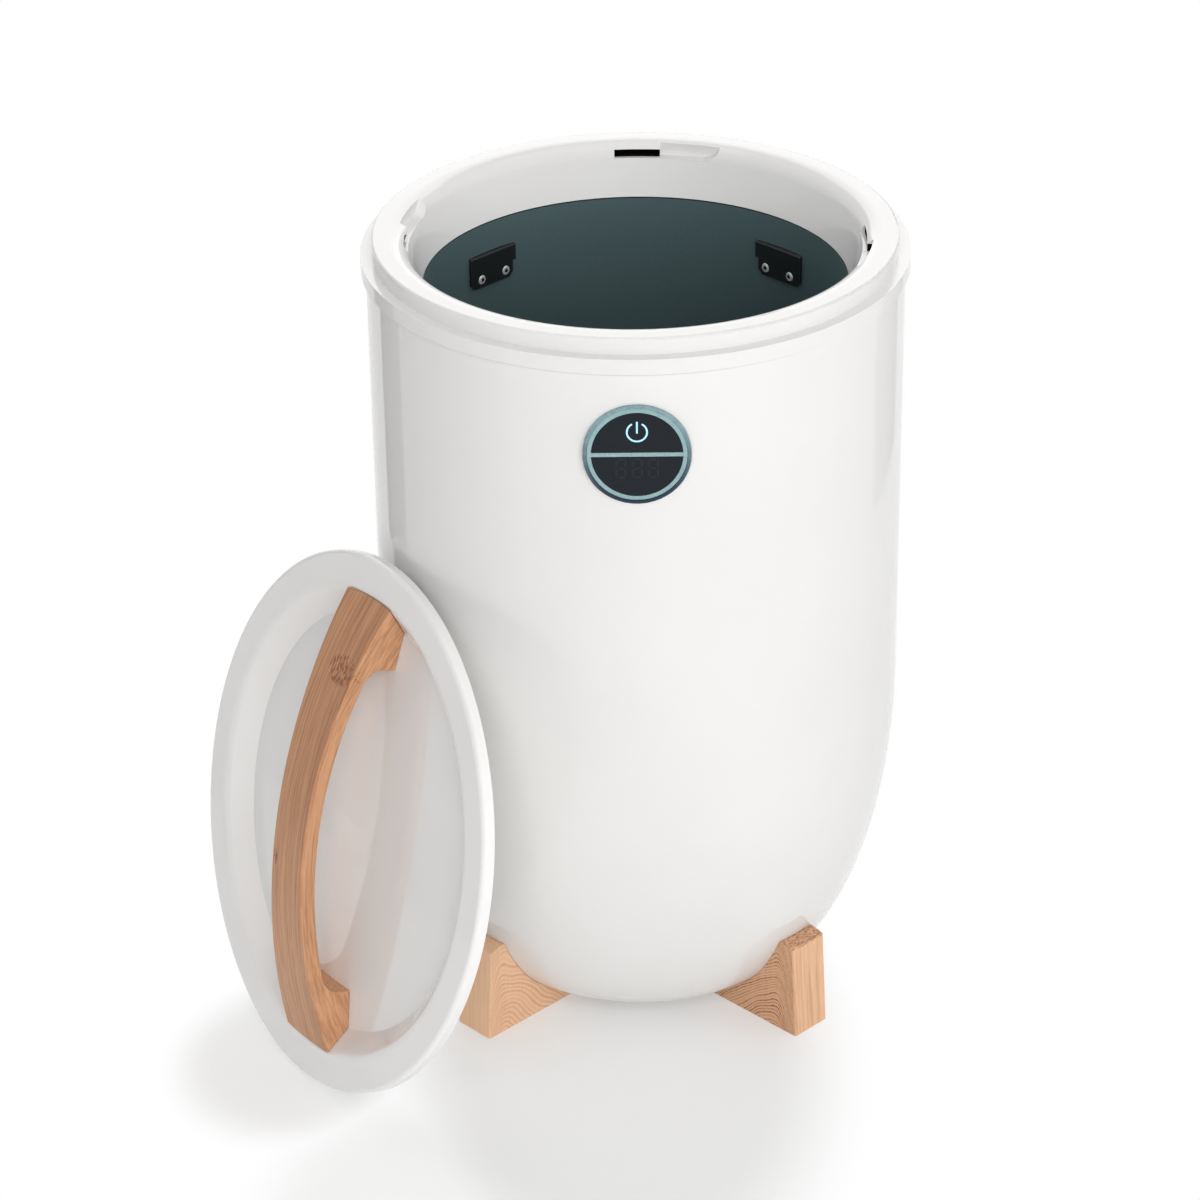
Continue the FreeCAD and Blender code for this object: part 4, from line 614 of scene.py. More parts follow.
@dataclass(frozen=True)
class Flecked(Finish):
    """A coating, felt, foam, ceramic or board with small flecks."""

    colour: Colour
    fleck: Colour
    amount: float = 0.5
    size: float = 1200.0
    gloss: float = 0.5
    depth: float = 6e-6
    metallic: float = 0.0
    sheen: float = 0.0
    index: float = 1.45

    def paint(self, tree: Tree, shader: Node) -> None:
        """Lays the flecks in colour, gloss and relief; see Finish.paint."""
        made = Speckle().put(
            tree, Colour=self.colour, Fleck=self.fleck, Amount=self.amount, Size=self.size, Gloss=self.gloss
        )
        plain = {"Metallic": self.metallic, "Sheen Weight": self.sheen, "IOR": self.index}
        self.surface(tree, shader, made, self.depth, plain)


@dataclass(frozen=True)
class Metal(Finish):
    """Bare, plated or anodised metal."""

    colour: Colour
    streak: Colour
    along: Triple = (1.0, 1.0, 0.03)
    scale: float = 900.0
    gloss: float = 0.22
    depth: float = 1.5e-6
    metallic: float = 1.0
    worn: Colour | None = None
    # painted reflection: a darker tint on the lower part, faded out between the two heights of fade
    painted_dark_reflection: Colour | None = None
    fade: tuple[float, float] = (0.0, 1.0)

    def paint(self, tree: Tree, shader: Node) -> None:
        """Lays the drawn grain, a painted dark reflection that fades with height, and worn edges; see
        Finish.paint.
        """
        grain = MetalGrain().put(
            tree, Colour=self.colour, Streak=self.streak, Along=self.along, Scale=self.scale, Gloss=self.gloss
        )
        colour = grain["Colour"]
        # painted reflection of dark surroundings on the lower part
        if self.painted_dark_reflection:
            colour = tree.mix(tree.ramp(tree.split(tree.place())[2], *self.fade), self.painted_dark_reflection, colour)
        if self.worn:
            colour = self.edged(tree, colour, self.worn, METAL_EDGE)
        self.surface(tree, shader, {**grain, "Colour": colour}, self.depth, {"Metallic": self.metallic})


@dataclass(frozen=True)
class Timber(Finish):
    """Sawn and oiled wood with its grain standing up, in a frame of its own."""

    pale: Colour
    dark: Colour
    bearing: float
    crown: Vector
    figure: float = 0.6
    breaks: float = 0.3
    ring: float = 1.2 * MM
    depth: float = 30e-6
    index: float = 1.34

    def own(self, tree: Tree, vector: Socket, origin: Vector) -> Socket:
        """A vector from an origin, in the piece's own frame: outward from the body, across the piece, up."""
        return tree.seen_from(vector, origin, (0.0, 0.0, self.bearing))

    def paint(self, tree: Tree, shader: Node) -> None:
        """Lays rings that arch about the crown, with paler handled edges; see Finish.paint."""
        facing = tree.add("ShaderNodeNewGeometry").outputs["True Normal"]
        wood = WoodRings().put(
            tree, Place=self.own(tree, tree.place(), self.crown), Facing=self.own(tree, facing, Vector()),
            Pale=self.pale, Dark=self.dark, Figure=self.figure, Break=self.breaks, Ring=self.ring,
        )
        colour = self.edged(tree, wood["Colour"], self.pale, WOOD_EDGE, WOOD_EDGE_SHARE)
        self.surface(tree, shader, {**wood, "Colour": colour}, self.depth, {"IOR": self.index})


@dataclass(frozen=True)
class JointMark:
    """Where a bamboo joint shows: along, across and below the handle's outer face, and how far it reaches."""

    centre: Triple
    reach: Triple


@dataclass(frozen=True)
class Bamboo(Finish):
    """Laminated bamboo bent along an arc."""

    pale: Colour
    dark: Colour
    hub: Matrix
    radius: float
    marks: tuple[JointMark, ...] = ()
    strip: float = 6.5 * MM
    depth: float = 35e-6
    index: float = 1.34

    def unrolled(self, tree: Tree) -> Socket:
        """The place along the arc, across it and below its outer face.

        Args:
            tree: The material's tree.

        Returns:
            Length, width and depth as a vector.
        """
        turned = tree.seen_from(tree.place(), self.hub.to_translation(), self.hub.to_euler())
        across, along, out = tree.split(turned)
        turn = tree.sum("ARCTAN2", along, out)
        depth = tree.sum("SUBTRACT", tree.distance(along, out), self.radius)
        return tree.joined(tree.times(turn, self.radius), across, depth)

    def paint(self, tree: Tree, shader: Node) -> None:
        """Lays strips, fibres and joint marks along the arc; see Finish.paint."""
        place = self.unrolled(tree)
        flecks: Feed = 0.0
        for mark in self.marks:
            inverse = tuple(1.0 / size for size in mark.reach)
            patch = JointFlecks().put(tree, Place=place, Centre=mark.centre, Reach=inverse)["Mask"]
            flecks = tree.sum("MAXIMUM", flecks, patch)
        fibre = BambooFibre().put(
            tree, Place=place, Pale=self.pale, Dark=self.dark, Strip=self.strip, Marks=flecks
        )
        colour = self.edged(tree, fibre["Colour"], self.dark, BAMBOO_EDGE, BAMBOO_EDGE_SHARE)
        self.surface(tree, shader, {**fibre, "Colour": colour}, self.depth, {"IOR": self.index})


@dataclass(frozen=True)
class Glow(Finish):
    """A lit mark under the panel's face, a little uneven as a light guide is."""

    colour: Colour
    shade: Colour
    strength: float = 0.5

    def paint(self, tree: Tree, shader: Node) -> None:
        """Lays the mark's own light over its print; see Finish.paint."""
        mould = MouldTone().put(tree, Colour=self.colour, Shade=self.shade, Drift=0.5, Gloss=0.3, Peel=1400.0)
        for name in ("Base Color", "Emission Color"):
            tree.feed(shader.inputs[name], mould["Colour"])
        tree.feed(shader.inputs["Roughness"], mould["Roughness"])
        shader.inputs["Emission Strength"].default_value = self.strength


PLASTIC_EDGE = 0.8 * MM
METAL_EDGE = 0.4 * MM
WOOD_EDGE = 0.9 * MM
WOOD_EDGE_SHARE = 0.5
BAMBOO_EDGE = 1.2 * MM
BAMBOO_EDGE_SHARE = 0.3
DUST_ROUGHNESS = 0.5

PURE_WHITE = (1.0, 1.0, 1.0, 1.0)
DUST = tone(205, 200, 192)
WHITE = tone(238, 237, 236)
WHITE_SHADE = tone(228, 226, 223)
# painted shadow for the line under the collar's skirt
SKIRT_PAINTED_SHADOW = tone(176, 171, 169)
# painted shade for hidden inner sides and slot walls
HOLLOW_PAINTED_SHADE = tone(30, 27, 28)
BLACK_SHADE = tone(38, 39, 41)
STEEL = tone(205, 206, 208)
STEEL_STREAK = tone(150, 152, 155)

# the shell carries a painted shadow line under the collar's skirt and painted shade on its hidden inner side
SHELL_WHITE = Plastic(
    "gloss_white_shell", WHITE, WHITE_SHADE, gloss=0.035, marks=0.03, peel=320.0, depth=3e-7, dust=0.04,
    skirt_shadow_height=467.7 * MM, shaded_hollows=({"Inner": 100 * MM, "Outer": 155.5 * MM, "Low": 300 * MM, "High": 480 * MM},),
)
# the collar carries painted shade on its hidden inner side and on the walls of its right slot
COLLAR_WHITE = Plastic(
    "gloss_white_collar", WHITE, WHITE_SHADE, gloss=0.08, marks=0.05, peel=420.0, depth=5e-7, dust=0.05,
    shaded_hollows=(
        {"Inner": 139.2 * MM, "Outer": 150.9 * MM, "Low": 470 * MM, "High": 486 * MM},
        {"Inner": 134.6 * MM, "Outer": 139.6 * MM, "Low": 479.2 * MM, "High": 484 * MM, "Reach": 15.4 * MM},
    ),
)
LID_WHITE = Plastic(
    "gloss_white_lid", tone(246, 245, 244), WHITE_SHADE, gloss=0.045, marks=0.03, peel=320.0, depth=3e-7,
    dust=0.03, index=1.58,
)
BASE_PALE = Plastic(
    "satin_pale_base", tone(222, 223, 224), tone(208, 209, 210), gloss=0.42, marks=0.1, depth=7e-6
)
CLIP_BLACK = Plastic(
    "satin_black_clip", tone(30, 33, 34), tone(40, 43, 44), gloss=0.42, depth=6e-6,
    worn=tone(58, 62, 63), index=1.36,
)
STAND_GREY = Plastic("heat_grey_stand", tone(96, 98, 100), tone(80, 82, 84), gloss=0.5, depth=8e-6)
HOUSING_DARK = Plastic("satin_dark_housing", tone(40, 42, 45), BLACK_SHADE, gloss=0.42, depth=6e-6)
MODULE_DARK = Plastic("satin_dark_module", tone(30, 31, 33), BLACK_SHADE, gloss=0.36, depth=4e-6)
RELAY_BLUE = Plastic("relay_case_blue", tone(46, 92, 160), tone(36, 74, 134), gloss=0.32)
TERMINAL_PALE = Plastic("terminal_pale", tone(214, 210, 196), tone(196, 190, 172), gloss=0.4, depth=5e-6)
GLAND_PALE = Plastic("satin_pale_gland", tone(220, 221, 222), tone(206, 207, 208), gloss=0.46, depth=6e-6)
PANEL_BLACK = Plastic(
    "panel_black_gloss", tone(20, 27, 34), tone(27, 34, 41), gloss=0.08, marks=0.08, peel=700.0,
    depth=4e-7, index=1.3,
)
LINER_COAT = Flecked(
    "liner_coating", tone(82, 102, 105), tone(108, 128, 130), amount=0.35, size=1400.0, gloss=0.34, index=1.42
)
LID_PAN = Plastic(
    "satin_white_pan", tone(232, 232, 230), tone(222, 222, 220), gloss=0.28, marks=0.08, peel=700.0
)
HEATER_PLATE = Flecked(
    "heater_plate_cast", tone(148, 150, 152), tone(118, 120, 122), size=700.0, metallic=0.85
)
JACKET_FELT = Flecked(
    "jacket_felt", tone(214, 210, 200), tone(176, 168, 152), size=600.0, gloss=0.8, depth=3e-4, sheen=0.4
)
LID_FOAM = Flecked("lid_foam", tone(228, 226, 218), tone(200, 196, 184), size=420.0, gloss=0.8, depth=2e-4)
CERAMIC = Flecked("thermostat_ceramic", tone(222, 216, 204), tone(190, 182, 168), size=1800.0, gloss=0.5)
BOARD_GREEN = Flecked("board_green", tone(24, 92, 58), tone(64, 128, 84), amount=0.3, size=500.0, gloss=0.32)
SEAL_DARK = Flecked("seal_dark", tone(42, 43, 44), tone(66, 67, 68), amount=0.3, size=1600.0, gloss=0.6)
GASKET = Flecked(
    "gasket_silicone", tone(206, 206, 202), tone(186, 186, 182), amount=0.4, size=1100.0, gloss=0.46
)
SCREW_STEEL = Metal("screw_steel", STEEL, STEEL_STREAK, worn=tone(228, 229, 231))
CLIP_STEEL = Metal(
    "clip_screw_steel", tone(228, 231, 230), STEEL, worn=tone(240, 242, 242), gloss=0.36, metallic=0.45
)
# painted shade: the dark material on the faces inside the screws' recesses
RECESS_PAINTED_SHADE = Metal("recess_painted_shade_steel", tone(46, 47, 49), tone(28, 29, 31), gloss=0.5, metallic=0.5)
SENSOR_STEEL = Metal("sensor_steel", STEEL, STEEL_STREAK, scale=1400.0, gloss=0.3)
HEATER_FOIL = Metal(
    "heater_foil", tone(196, 197, 198), tone(160, 162, 164), along=(1.0, 1.0, 0.6), scale=220.0,
    gloss=0.3, depth=2e-4,
)
# the bezel's lower part carries a painted dark reflection
CHROME = Metal(
    "bezel_chrome", tone(150, 178, 182), tone(128, 156, 164), along=(1.0, 1.0, 1.0), scale=300.0, gloss=0.06,
    depth=2e-7, painted_dark_reflection=tone(58, 68, 86), fade=(0.392, 0.446),
)
RING_TEAL = Metal(
    "ring_teal", tone(158, 188, 190), tone(138, 172, 176), along=(1.0, 0.1, 1.0), scale=700.0,
    gloss=0.36, metallic=0.35,
)
ICON_LIGHT = Glow("icon_light", tone(168, 216, 244), tone(148, 200, 236))
GHOST_DIGITS = Plastic("ghost_digits", tone(31, 36, 41), tone(37, 40, 44), gloss=0.3, depth=4e-7, index=1.3)

BAMBOO_PALE = tone(221, 168, 127)
BAMBOO_DARK = tone(148, 96, 66)
WOOD_PALE = tone(248, 205, 168)
WOOD_DARK = tone(180, 122, 86)
WOOD_RED = tone(236, 190, 152)
WOOD_RED_DARK = tone(136, 80, 52)


def dress(finishes: dict[str, Finish]) -> None:
    """Puts finishes on nodes of the frame.

    Args:
        finishes: What each node is finished with, by the node's name.
    """
    for name, finish in finishes.items():
        for slot in frame["nodes"][name].material_slots:
            slot.material = finish.material()
        log.info("%s is finished as %s", name, finish.name)


def new_piece(name: str, shape: bmesh.types.BMesh, finish: Finish, body: str) -> bpy.types.Object:
    """Makes a piece of the object from a finished shape.

    Args:
        name: The piece's name.
        shape: Its mesh, which is freed.
        finish: Its finish.
        body: The body that it rides on.

    Returns:
        The piece.
    """
    mesh = bpy.data.meshes.new(name)
    bmesh.ops.recalc_face_normals(shape, faces=shape.faces)
    shape.to_mesh(mesh)
    shape.free()
    mesh.polygons.foreach_set("use_smooth", [True] * len(mesh.polygons))
    mesh.set_sharp_from_angle(angle=SHARP_ANGLE)
    mesh.materials.append(finish.material())
    piece = bpy.data.objects.new(name, mesh)
    bpy.context.scene.collection.objects.link(piece)
    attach(piece, body)
    log.info("%s is made and rides on %s", name, body)
    return piece


def loft(shape: bmesh.types.BMesh, loops: list[list[Vector]]) -> None:
    """Adds a closed solid between outlines of equal count.

    Args:
        shape: The mesh that is added to.
        loops: The outlines in order, each as closed points.
    """
    rows = [[shape.verts.new(point) for point in loop] for loop in loops]
    count = len(rows[0])
    for low, high in zip(rows, rows[1:]):
        for index in range(count):
            after = (index + 1) % count
            shape.faces.new((low[index], low[after], high[after], high[index]))
    shape.faces.new(list(reversed(rows[0])))
    shape.faces.new(rows[-1])


def stroke(path: list[Vector], half_width: float, cap_steps: int = 6) -> list[Vector]:
    """The outline of a line of even width with round ends.

    Args:
        path: The line's points in its plane.
        half_width: Half of the line's width.
        cap_steps: Steps in each round end.

    Returns:
        The outline's points, closed.
    """
    def beside(before: Vector, after: Vector) -> Vector:
        """The step to the left of a stretch, half a width long."""
        along = (after - before).normalized()
        return Vector((-along.y, along.x)) * half_width

    def cap(end: Vector, inward: Vector) -> list[Vector]:
        """The round end beyond a point."""
        turns = [Matrix.Rotation(-math.pi * step / cap_steps, 2) for step in range(1, cap_steps)]
        return [end + turn @ beside(inward, end) for turn in turns]

    near = [path[0], *path, path[-1]]
    steps = [beside(before, after) for before, after in zip(near, near[2:])]
    left = [point + step for point, step in zip(path, steps)]
    right = [point - step for point, step in zip(path, steps)]
    return left + cap(path[-1], path[-2]) + right[::-1] + cap(path[0], path[1])


class Drive(Enum):
    """The recess in a screw's head."""

    CROSS = "cross"
    HEX = "hex"


@dataclass
class Solid:
    """One turned solid of a node: its axis runs from tail to head."""

    seat: Vector
    axis: Vector
    head_radius: float
    head_height: float
    shank_radius: float
    shank_length: float


@dataclass
class ScrewSet:
    """Screws of one node, made again with rounded heads and a driver's recess.

    Where the axis has no length, the heads look at the body's middle.
    """

    node: str
    body: str
    axis: Vector
    drive: Drive
    slot: str = "screw_steel"
    finish: Finish = SCREW_STEEL
    sides: int = 40
    dome_steps: int = 5
    dome_share: float = 0.55
    recess_share: float = 0.62
    recess_depth_share: float = 0.6
    slot_share: float = 0.2
    taper_share: float = 0.7
    head_band: float = 0.95
    tail_band: float = 0.2
    brim_share: float = 0.01

    def solids(self) -> list[Solid]:
        """Finds the node's solids and measures each about the axis.

        Returns:
            The measured solids.
        """
        shape = bmesh.new()
        shape.from_mesh(frame["nodes"][self.node].data)
        bmesh.ops.remove_doubles(shape, verts=shape.verts, dist=1e-6)
        waiting, found = dict.fromkeys(shape.verts), []
        while waiting:
            island, front = [], [waiting.popitem()[0]]
            while front:
                vertex = front.pop()
                island.append(vertex.co.copy())
                for near in (edge.other_vert(vertex) for edge in vertex.link_edges):
                    if near in waiting:
                        del waiting[near]
                        front.append(near)
            found.append(self.measure(island, self.facing(island)))
        shape.free()
        return sorted(found, key=lambda solid: tuple(round(part, 5) for part in solid.seat))

    def facing(self, island: list[Vector]) -> Vector:
        """The way the head looks, from the axis or towards the body's middle."""
        middle = sum(island, Vector()) / len(island)
        return self.axis if self.axis.length > 0 else -Vector((middle.x, middle.y, 0.0)).normalized()

    def measure(self, points: list[Vector], axis: Vector) -> Solid:
        """Measures one solid.

        Args:
            points: Its corners.
            axis: The way its head looks.

        Returns:
            The measured solid.
        """
        heights = [point.dot(axis) for point in points]
        flat = [point - axis * height for point, height in zip(points, heights)]
        centre = sum(flat, Vector()) / len(flat)
        spans = [(point - centre).length for point in flat]
        widest, tail = max(spans), min(heights)
        seat = min(height for height, span in zip(heights, spans) if span > self.head_band * widest)
        low = tail + self.tail_band * (seat - tail)
        shank = max(span for height, span in zip(heights, spans) if height < low)
        return Solid(centre + axis * seat, axis, widest, max(heights) - seat, shank, seat - tail)

    def profile(self, solid: Solid) -> list[tuple[float, float]]:
        """The turned outline of a screw.

        Args:
            solid: What the screw follows.

        Returns:
            Radius and height above the seat, from tail to crown.
        """
        dome = solid.head_height * self.dome_share
        points = [
            (solid.shank_radius * self.taper_share, -solid.shank_length),
            (solid.shank_radius, -solid.shank_length + solid.shank_radius),
            (solid.shank_radius, 0.0),
            (solid.head_radius, 0.0),
        ]
        for step in range(self.dome_steps + 1):
            turn = math.pi / 2 * step / self.dome_steps
            lift = solid.head_height - dome + dome * math.sin(turn)
            points.append((solid.head_radius - dome * (1.0 - math.cos(turn)), lift))
        return points

    def recess(self, radius: float) -> list[Vector]:
        """The recess's outline, flat on the head.

        Args:
            radius: How far its corners or arms reach.

        Returns:
            The outline's corners, closed.
        """
        if self.drive is Drive.HEX:
            return [Vector((math.cos(turn), math.sin(turn))) * radius
                    for turn in (math.tau * side / 6 for side in range(6))]
        arm = radius * self.slot_share
        corners = []
        for quarter in range(4):
            turn = Matrix.Rotation(math.tau * quarter / 4, 2)
            corners += [turn @ Vector(corner) for corner in ((radius, -arm), (radius, arm), (arm, arm))]
        return corners

    def carved(self, solid: Solid) -> bpy.types.Mesh:
        """One screw standing on its seat, with its recess cut and the recess's faces set to painted shade.

        Args:
            solid: What the screw follows.

        Returns:
            The screw's mesh about its own axis.
        """
        turns = [math.tau * side / self.sides for side in range(self.sides)]
        body = bmesh.new()
        loft(body, [[Vector((radius * math.cos(turn), radius * math.sin(turn), height)) for turn in turns]
                    for radius, height in self.profile(solid)])
        tool = bmesh.new()
        deep = solid.head_height * (1.0 - self.recess_depth_share)
        mouth = solid.head_radius * self.recess_share
        levels = ((mouth * self.taper_share, deep), (mouth, solid.head_height * (1.0 + self.brim_share)))
        loft(tool, [
            [point.to_3d() + UP * height for point in self.recess(radius)] for radius, height in levels
        ])
        made = []
        for shape in (body, tool):
            bmesh.ops.recalc_face_normals(shape, faces=shape.faces)
            mesh = bpy.data.meshes.new("screw_work")
            shape.to_mesh(mesh)
            shape.free()
            made.append(bpy.data.objects.new("screw_work", mesh))
            bpy.context.scene.collection.objects.link(made[-1])
        cut = made[0].modifiers.new("recess", "BOOLEAN")
        cut.operation, cut.solver, cut.object = "DIFFERENCE", "EXACT", made[1]
        result = bpy.data.meshes.new_from_object(made[0].evaluated_get(bpy.context.evaluated_depsgraph_get()))
        for work in made:
            bpy.data.meshes.remove(work.data)
        # faces inside the recess get the second material, painted shade
        bottom, brim = deep - MM / 100, solid.head_height * (1.0 - self.brim_share)
        for face in result.polygons:
            inside = face.center.to_2d().length < mouth and bottom < face.center.z < brim
            face.material_index = 1 if inside else 0
        return result

    def build(self) -> None:
        """Makes every screw of the node as one piece that stands for it."""
        whole = bmesh.new()
        for solid in self.solids():
            screw = self.carved(solid)
            turn = UP.rotation_difference(solid.axis).to_matrix().to_4x4()
            screw.transform(Matrix.Translation(solid.seat) @ turn)
            whole.from_mesh(screw)
            bpy.data.meshes.remove(screw)
        piece = new_piece(f"{self.node}_recessed", whole, self.finish, self.body)
        # the second material: painted shade in the recesses
        piece.data.materials.append(RECESS_PAINTED_SHADE.material())
        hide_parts(self.node)


@dataclass
class Panel:
    """The round control panel: bezel, ring, black faces, lit power mark and unlit digits."""

    lift: float = 0.03 * MM
    mark_rise: float = 13.7 * MM
    mark_radius: float = 5.6 * MM
    mark_stroke: float = 1.0 * MM
    mark_gap: float = math.radians(33.0)
    bar_low: float = -0.3 * MM
    bar_high: float = 6.0 * MM
    digit_drop: float = 8.5 * MM
    digit_pitch: float = 9.0 * MM
    digit_width: float = 5.0 * MM
    digit_height: float = 11.0 * MM
    segment: float = 1.3 * MM
    segment_gap: float = 0.35 * MM
    arc_steps: int = 48
    centre: Vector = field(init=False)

    def __post_init__(self) -> None:
        """Finds the panel's middle in the frame."""
        low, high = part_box("panel_bezel")
        self.centre = Vector(((low.x + high.x) / 2, (low.z + high.z) / 2))

    def plate(self, shape: bmesh.types.BMesh, outline: list[Vector], face: float) -> None:
        """Adds a thin raised plate of an outline to a shape, on a face of the panel."""
        levels = (face, face - self.lift)
        loft(shape, [[Vector((point.x, level, point.y)) for point in outline] for level in levels])

    def power_mark(self) -> None:
        """Makes the lit ring and bar on the button's face."""
        middle = self.centre + Vector((0.0, self.mark_rise))
        sweep = math.tau - 2 * self.mark_gap
        turns = [self.mark_gap + sweep * step / self.arc_steps for step in range(self.arc_steps + 1)]
        ring = [middle + Vector((math.sin(turn), math.cos(turn))) * self.mark_radius for turn in turns]
        bar = [middle + Vector((0.0, height)) for height in (self.bar_low, self.bar_high)]
        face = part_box("power_button")[0].y
        shape = bmesh.new()
        for path in (ring, bar):
            self.plate(shape, stroke(path, self.mark_stroke / 2), face)
        new_piece("power_mark", shape, ICON_LIGHT, "power_button")

    def bars(self) -> list[tuple[Vector, Vector]]:
        """The seven bars of one digit.

        Returns:
            Each bar's two ends, about the digit's middle.
        """
        half, third = self.digit_width / 2, self.digit_height / 2
        inset = self.segment / 2 + self.segment_gap
        made = [
            (Vector((inset - half, level)), Vector((half - inset, level))) for level in (-third, 0.0, third)
        ]
        for side in (-half, half):
            for level in (-third, 0.0):
                made.append((Vector((side, level + inset)), Vector((side, level + third - inset))))
        return made

    def digits(self) -> None:
        """Makes three digits of unlit bars behind the lens's face."""
        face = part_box("display_lens")[0].y
        shape = bmesh.new()
        for place in (-1, 0, 1):
            middle = self.centre + Vector((place * self.digit_pitch, -self.digit_drop))
            for start, end in self.bars():
                tip = (end - start).normalized() * self.segment / 2
                side = Vector((-tip.y, tip.x))
                outline = [
                    start - tip, start + side, end + side, end + tip, end - side, start - side
                ]
                self.plate(shape, [middle + point for point in outline], face)
        new_piece("display_digits", shape, GHOST_DIGITS, "housing")

    def dress(self) -> None:
        """Finishes the panel's nodes."""
        dress({
            "panel_bezel": CHROME, "panel_ring": RING_TEAL, "display_lens": PANEL_BLACK,
            "power_button": PANEL_BLACK, "panel_housing": HOUSING_DARK, "display_module": MODULE_DARK,
            "tact_switch": MODULE_DARK, "control_board": BOARD_GREEN,
        })

    def build(self) -> None:
        """Finishes the panel and adds its marks."""
        self.dress()
        self.power_mark()
        self.digits()


@dataclass
class Housing:
    """The outer shell, its collar, the coated liner and what warms it."""

    inward: Vector = field(default_factory=Vector)
    clip_soft: float = 0.7 * MM
    clip_steps: int = 3

    def build(self) -> None:
        """Finishes the nodes, softens the clips' edges and makes their socket screws."""
        dress({
            "outer_shell": SHELL_WHITE, "collar": COLLAR_WHITE, "liner": LINER_COAT, "liner_seal": SEAL_DARK,
            "liner_stand": STAND_GREY, "heating_band": HEATER_FOIL, "base_heater": HEATER_PLATE,
            "insulation_jacket": JACKET_FELT, "thermostat": CERAMIC, "thermal_fuse": SENSOR_STEEL,
            "temperature_sensor": SENSOR_STEEL,
        })
        for clip in ("liner_clip_left", "liner_clip_right"):
            dress({clip: CLIP_BLACK})
            soft = frame["nodes"][clip].modifiers.new("soft_edges", "BEVEL")
            soft.width, soft.segments, soft.limit_method = self.clip_soft, self.clip_steps, "ANGLE"
        ScrewSet(
            "liner_clip_screws", "housing", self.inward, Drive.HEX, finish=CLIP_STEEL,
            dome_share=0.45, recess_share=0.46,
        ).build()


@dataclass
class Base:
    """The cover under the body, its screws, the power board above it and the cord's gland."""

    down: Vector = field(default_factory=lambda: -UP)

    def build(self) -> None:
        """Finishes the nodes and makes the cover's cross-recess screws."""
        dress({
            "base_cover": BASE_PALE, "cord_gland": GLAND_PALE, "gland_nut": GLAND_PALE,
            "power_board": BOARD_GREEN, "power_relay": RELAY_BLUE, "terminal_block": TERMINAL_PALE,
            "foot_screws": SCREW_STEEL,
        })
        ScrewSet("base_cover_screws", "housing", self.down, Drive.CROSS).build()


@dataclass
class Foot:
    """One wooden foot and how its growth rings lie."""

    node: str
    figure: float
    breaks: float
    crown_out: float
    crown_side: float = 0.0
    ring: float = 1.2 * MM
    pale: Colour = WOOD_PALE
    dark: Colour = WOOD_DARK

    def build(self) -> None:
        """Finishes the foot with rings that arch below its outer end."""
        low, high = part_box(self.node)
        middle = (low + high) / 2
        bearing = math.atan2(middle.y, middle.x)
        crown = Matrix.Rotation(bearing, 3, "Z") @ Vector((self.crown_out, self.crown_side, 0.0))
        dress({self.node: Timber(
            f"oiled_wood_{self.node}", self.pale, self.dark, bearing, crown,
            self.figure, self.breaks, self.ring,
        )})


@dataclass
class Feet:
    """The four wooden feet, each cut from its own plank."""

    feet: tuple[Foot, ...] = (
        Foot("foot_front_left", 0.42, 0.15, 0.137),
        Foot("foot_front_right", 0.9, 0.4, 0.134, 2 * MM, 0.75 * MM, WOOD_RED, WOOD_RED_DARK),
        Foot("foot_rear_left", 0.5, 0.3, 0.134, -3 * MM, MM),
        Foot("foot_rear_right", 0.7, 0.4, 0.130, 4 * MM, 0.85 * MM, WOOD_RED, WOOD_DARK),
    )

    def build(self) -> None:
        """Finishes every foot."""
        for foot in self.feet:
            foot.build()


@dataclass
class Lid:
    """The dished lid with its bamboo handle, inner pan, foam, gasket and screws."""

    handle_turn: float = math.radians(6.7)
    handle_rise: float = 32.5 * MM
    handle_radius: float = 315.6 * MM
    axes: Matrix = field(init=False)

    def __post_init__(self) -> None:
        """Finds the lid's own axes and its rim's middle in the frame."""
        joint = next(joint for joint in frame["joints"] if joint["name"] == "lid_lift_away")
        out = Vector(joint["axis"]).normalized()
        level = UP.cross(out).normalized()
        steep = out.cross(level)
        corners = [vertex.co for vertex in frame["nodes"]["lid_top"].data.vertices]
        spans = [[corner.dot(axis) for corner in corners] for axis in (level, steep, out)]
        places = [(min(spans[0]) + max(spans[0])) / 2, (min(spans[1]) + max(spans[1])) / 2, max(spans[2])]
        middle = level * places[0] + steep * places[1] + out * places[2]
        self.axes = Matrix.Translation(middle) @ Matrix((level, steep, out)).transposed().to_4x4()

    def bamboo(self) -> Bamboo:
        """The handle's finish, bent about the hub of its arc.

        Returns:
            The bamboo with its two joint marks.
        """
        turn = Matrix.Rotation(self.handle_turn, 4, "Z")
        hub = self.axes @ turn @ Matrix.Translation((0.0, 0.0, self.handle_rise - self.handle_radius))
        marks = (
            JointMark((99 * MM, 8 * MM, 0.0), (9 * MM, 14 * MM, 20 * MM)),
            JointMark((-25 * MM, -14 * MM, 0.0), (5 * MM, 2.5 * MM, 20 * MM)),
        )
        return Bamboo("handle_bamboo_oiled", BAMBOO_PALE, BAMBOO_DARK, hub, self.handle_radius, marks)

    def build(self) -> None:
        """Finishes the lid's nodes and makes the pan's cross-recess screws."""
        dress({
            "lid_top": LID_WHITE, "lid_handle": self.bamboo(), "lid_inner": LID_PAN,
            "lid_insulation": LID_FOAM, "lid_gasket": GASKET, "handle_screws": SCREW_STEEL,
        })
        inward = -(self.axes.to_3x3() @ UP)
        ScrewSet("lid_inner_screws", "lid", inward, Drive.CROSS).build()


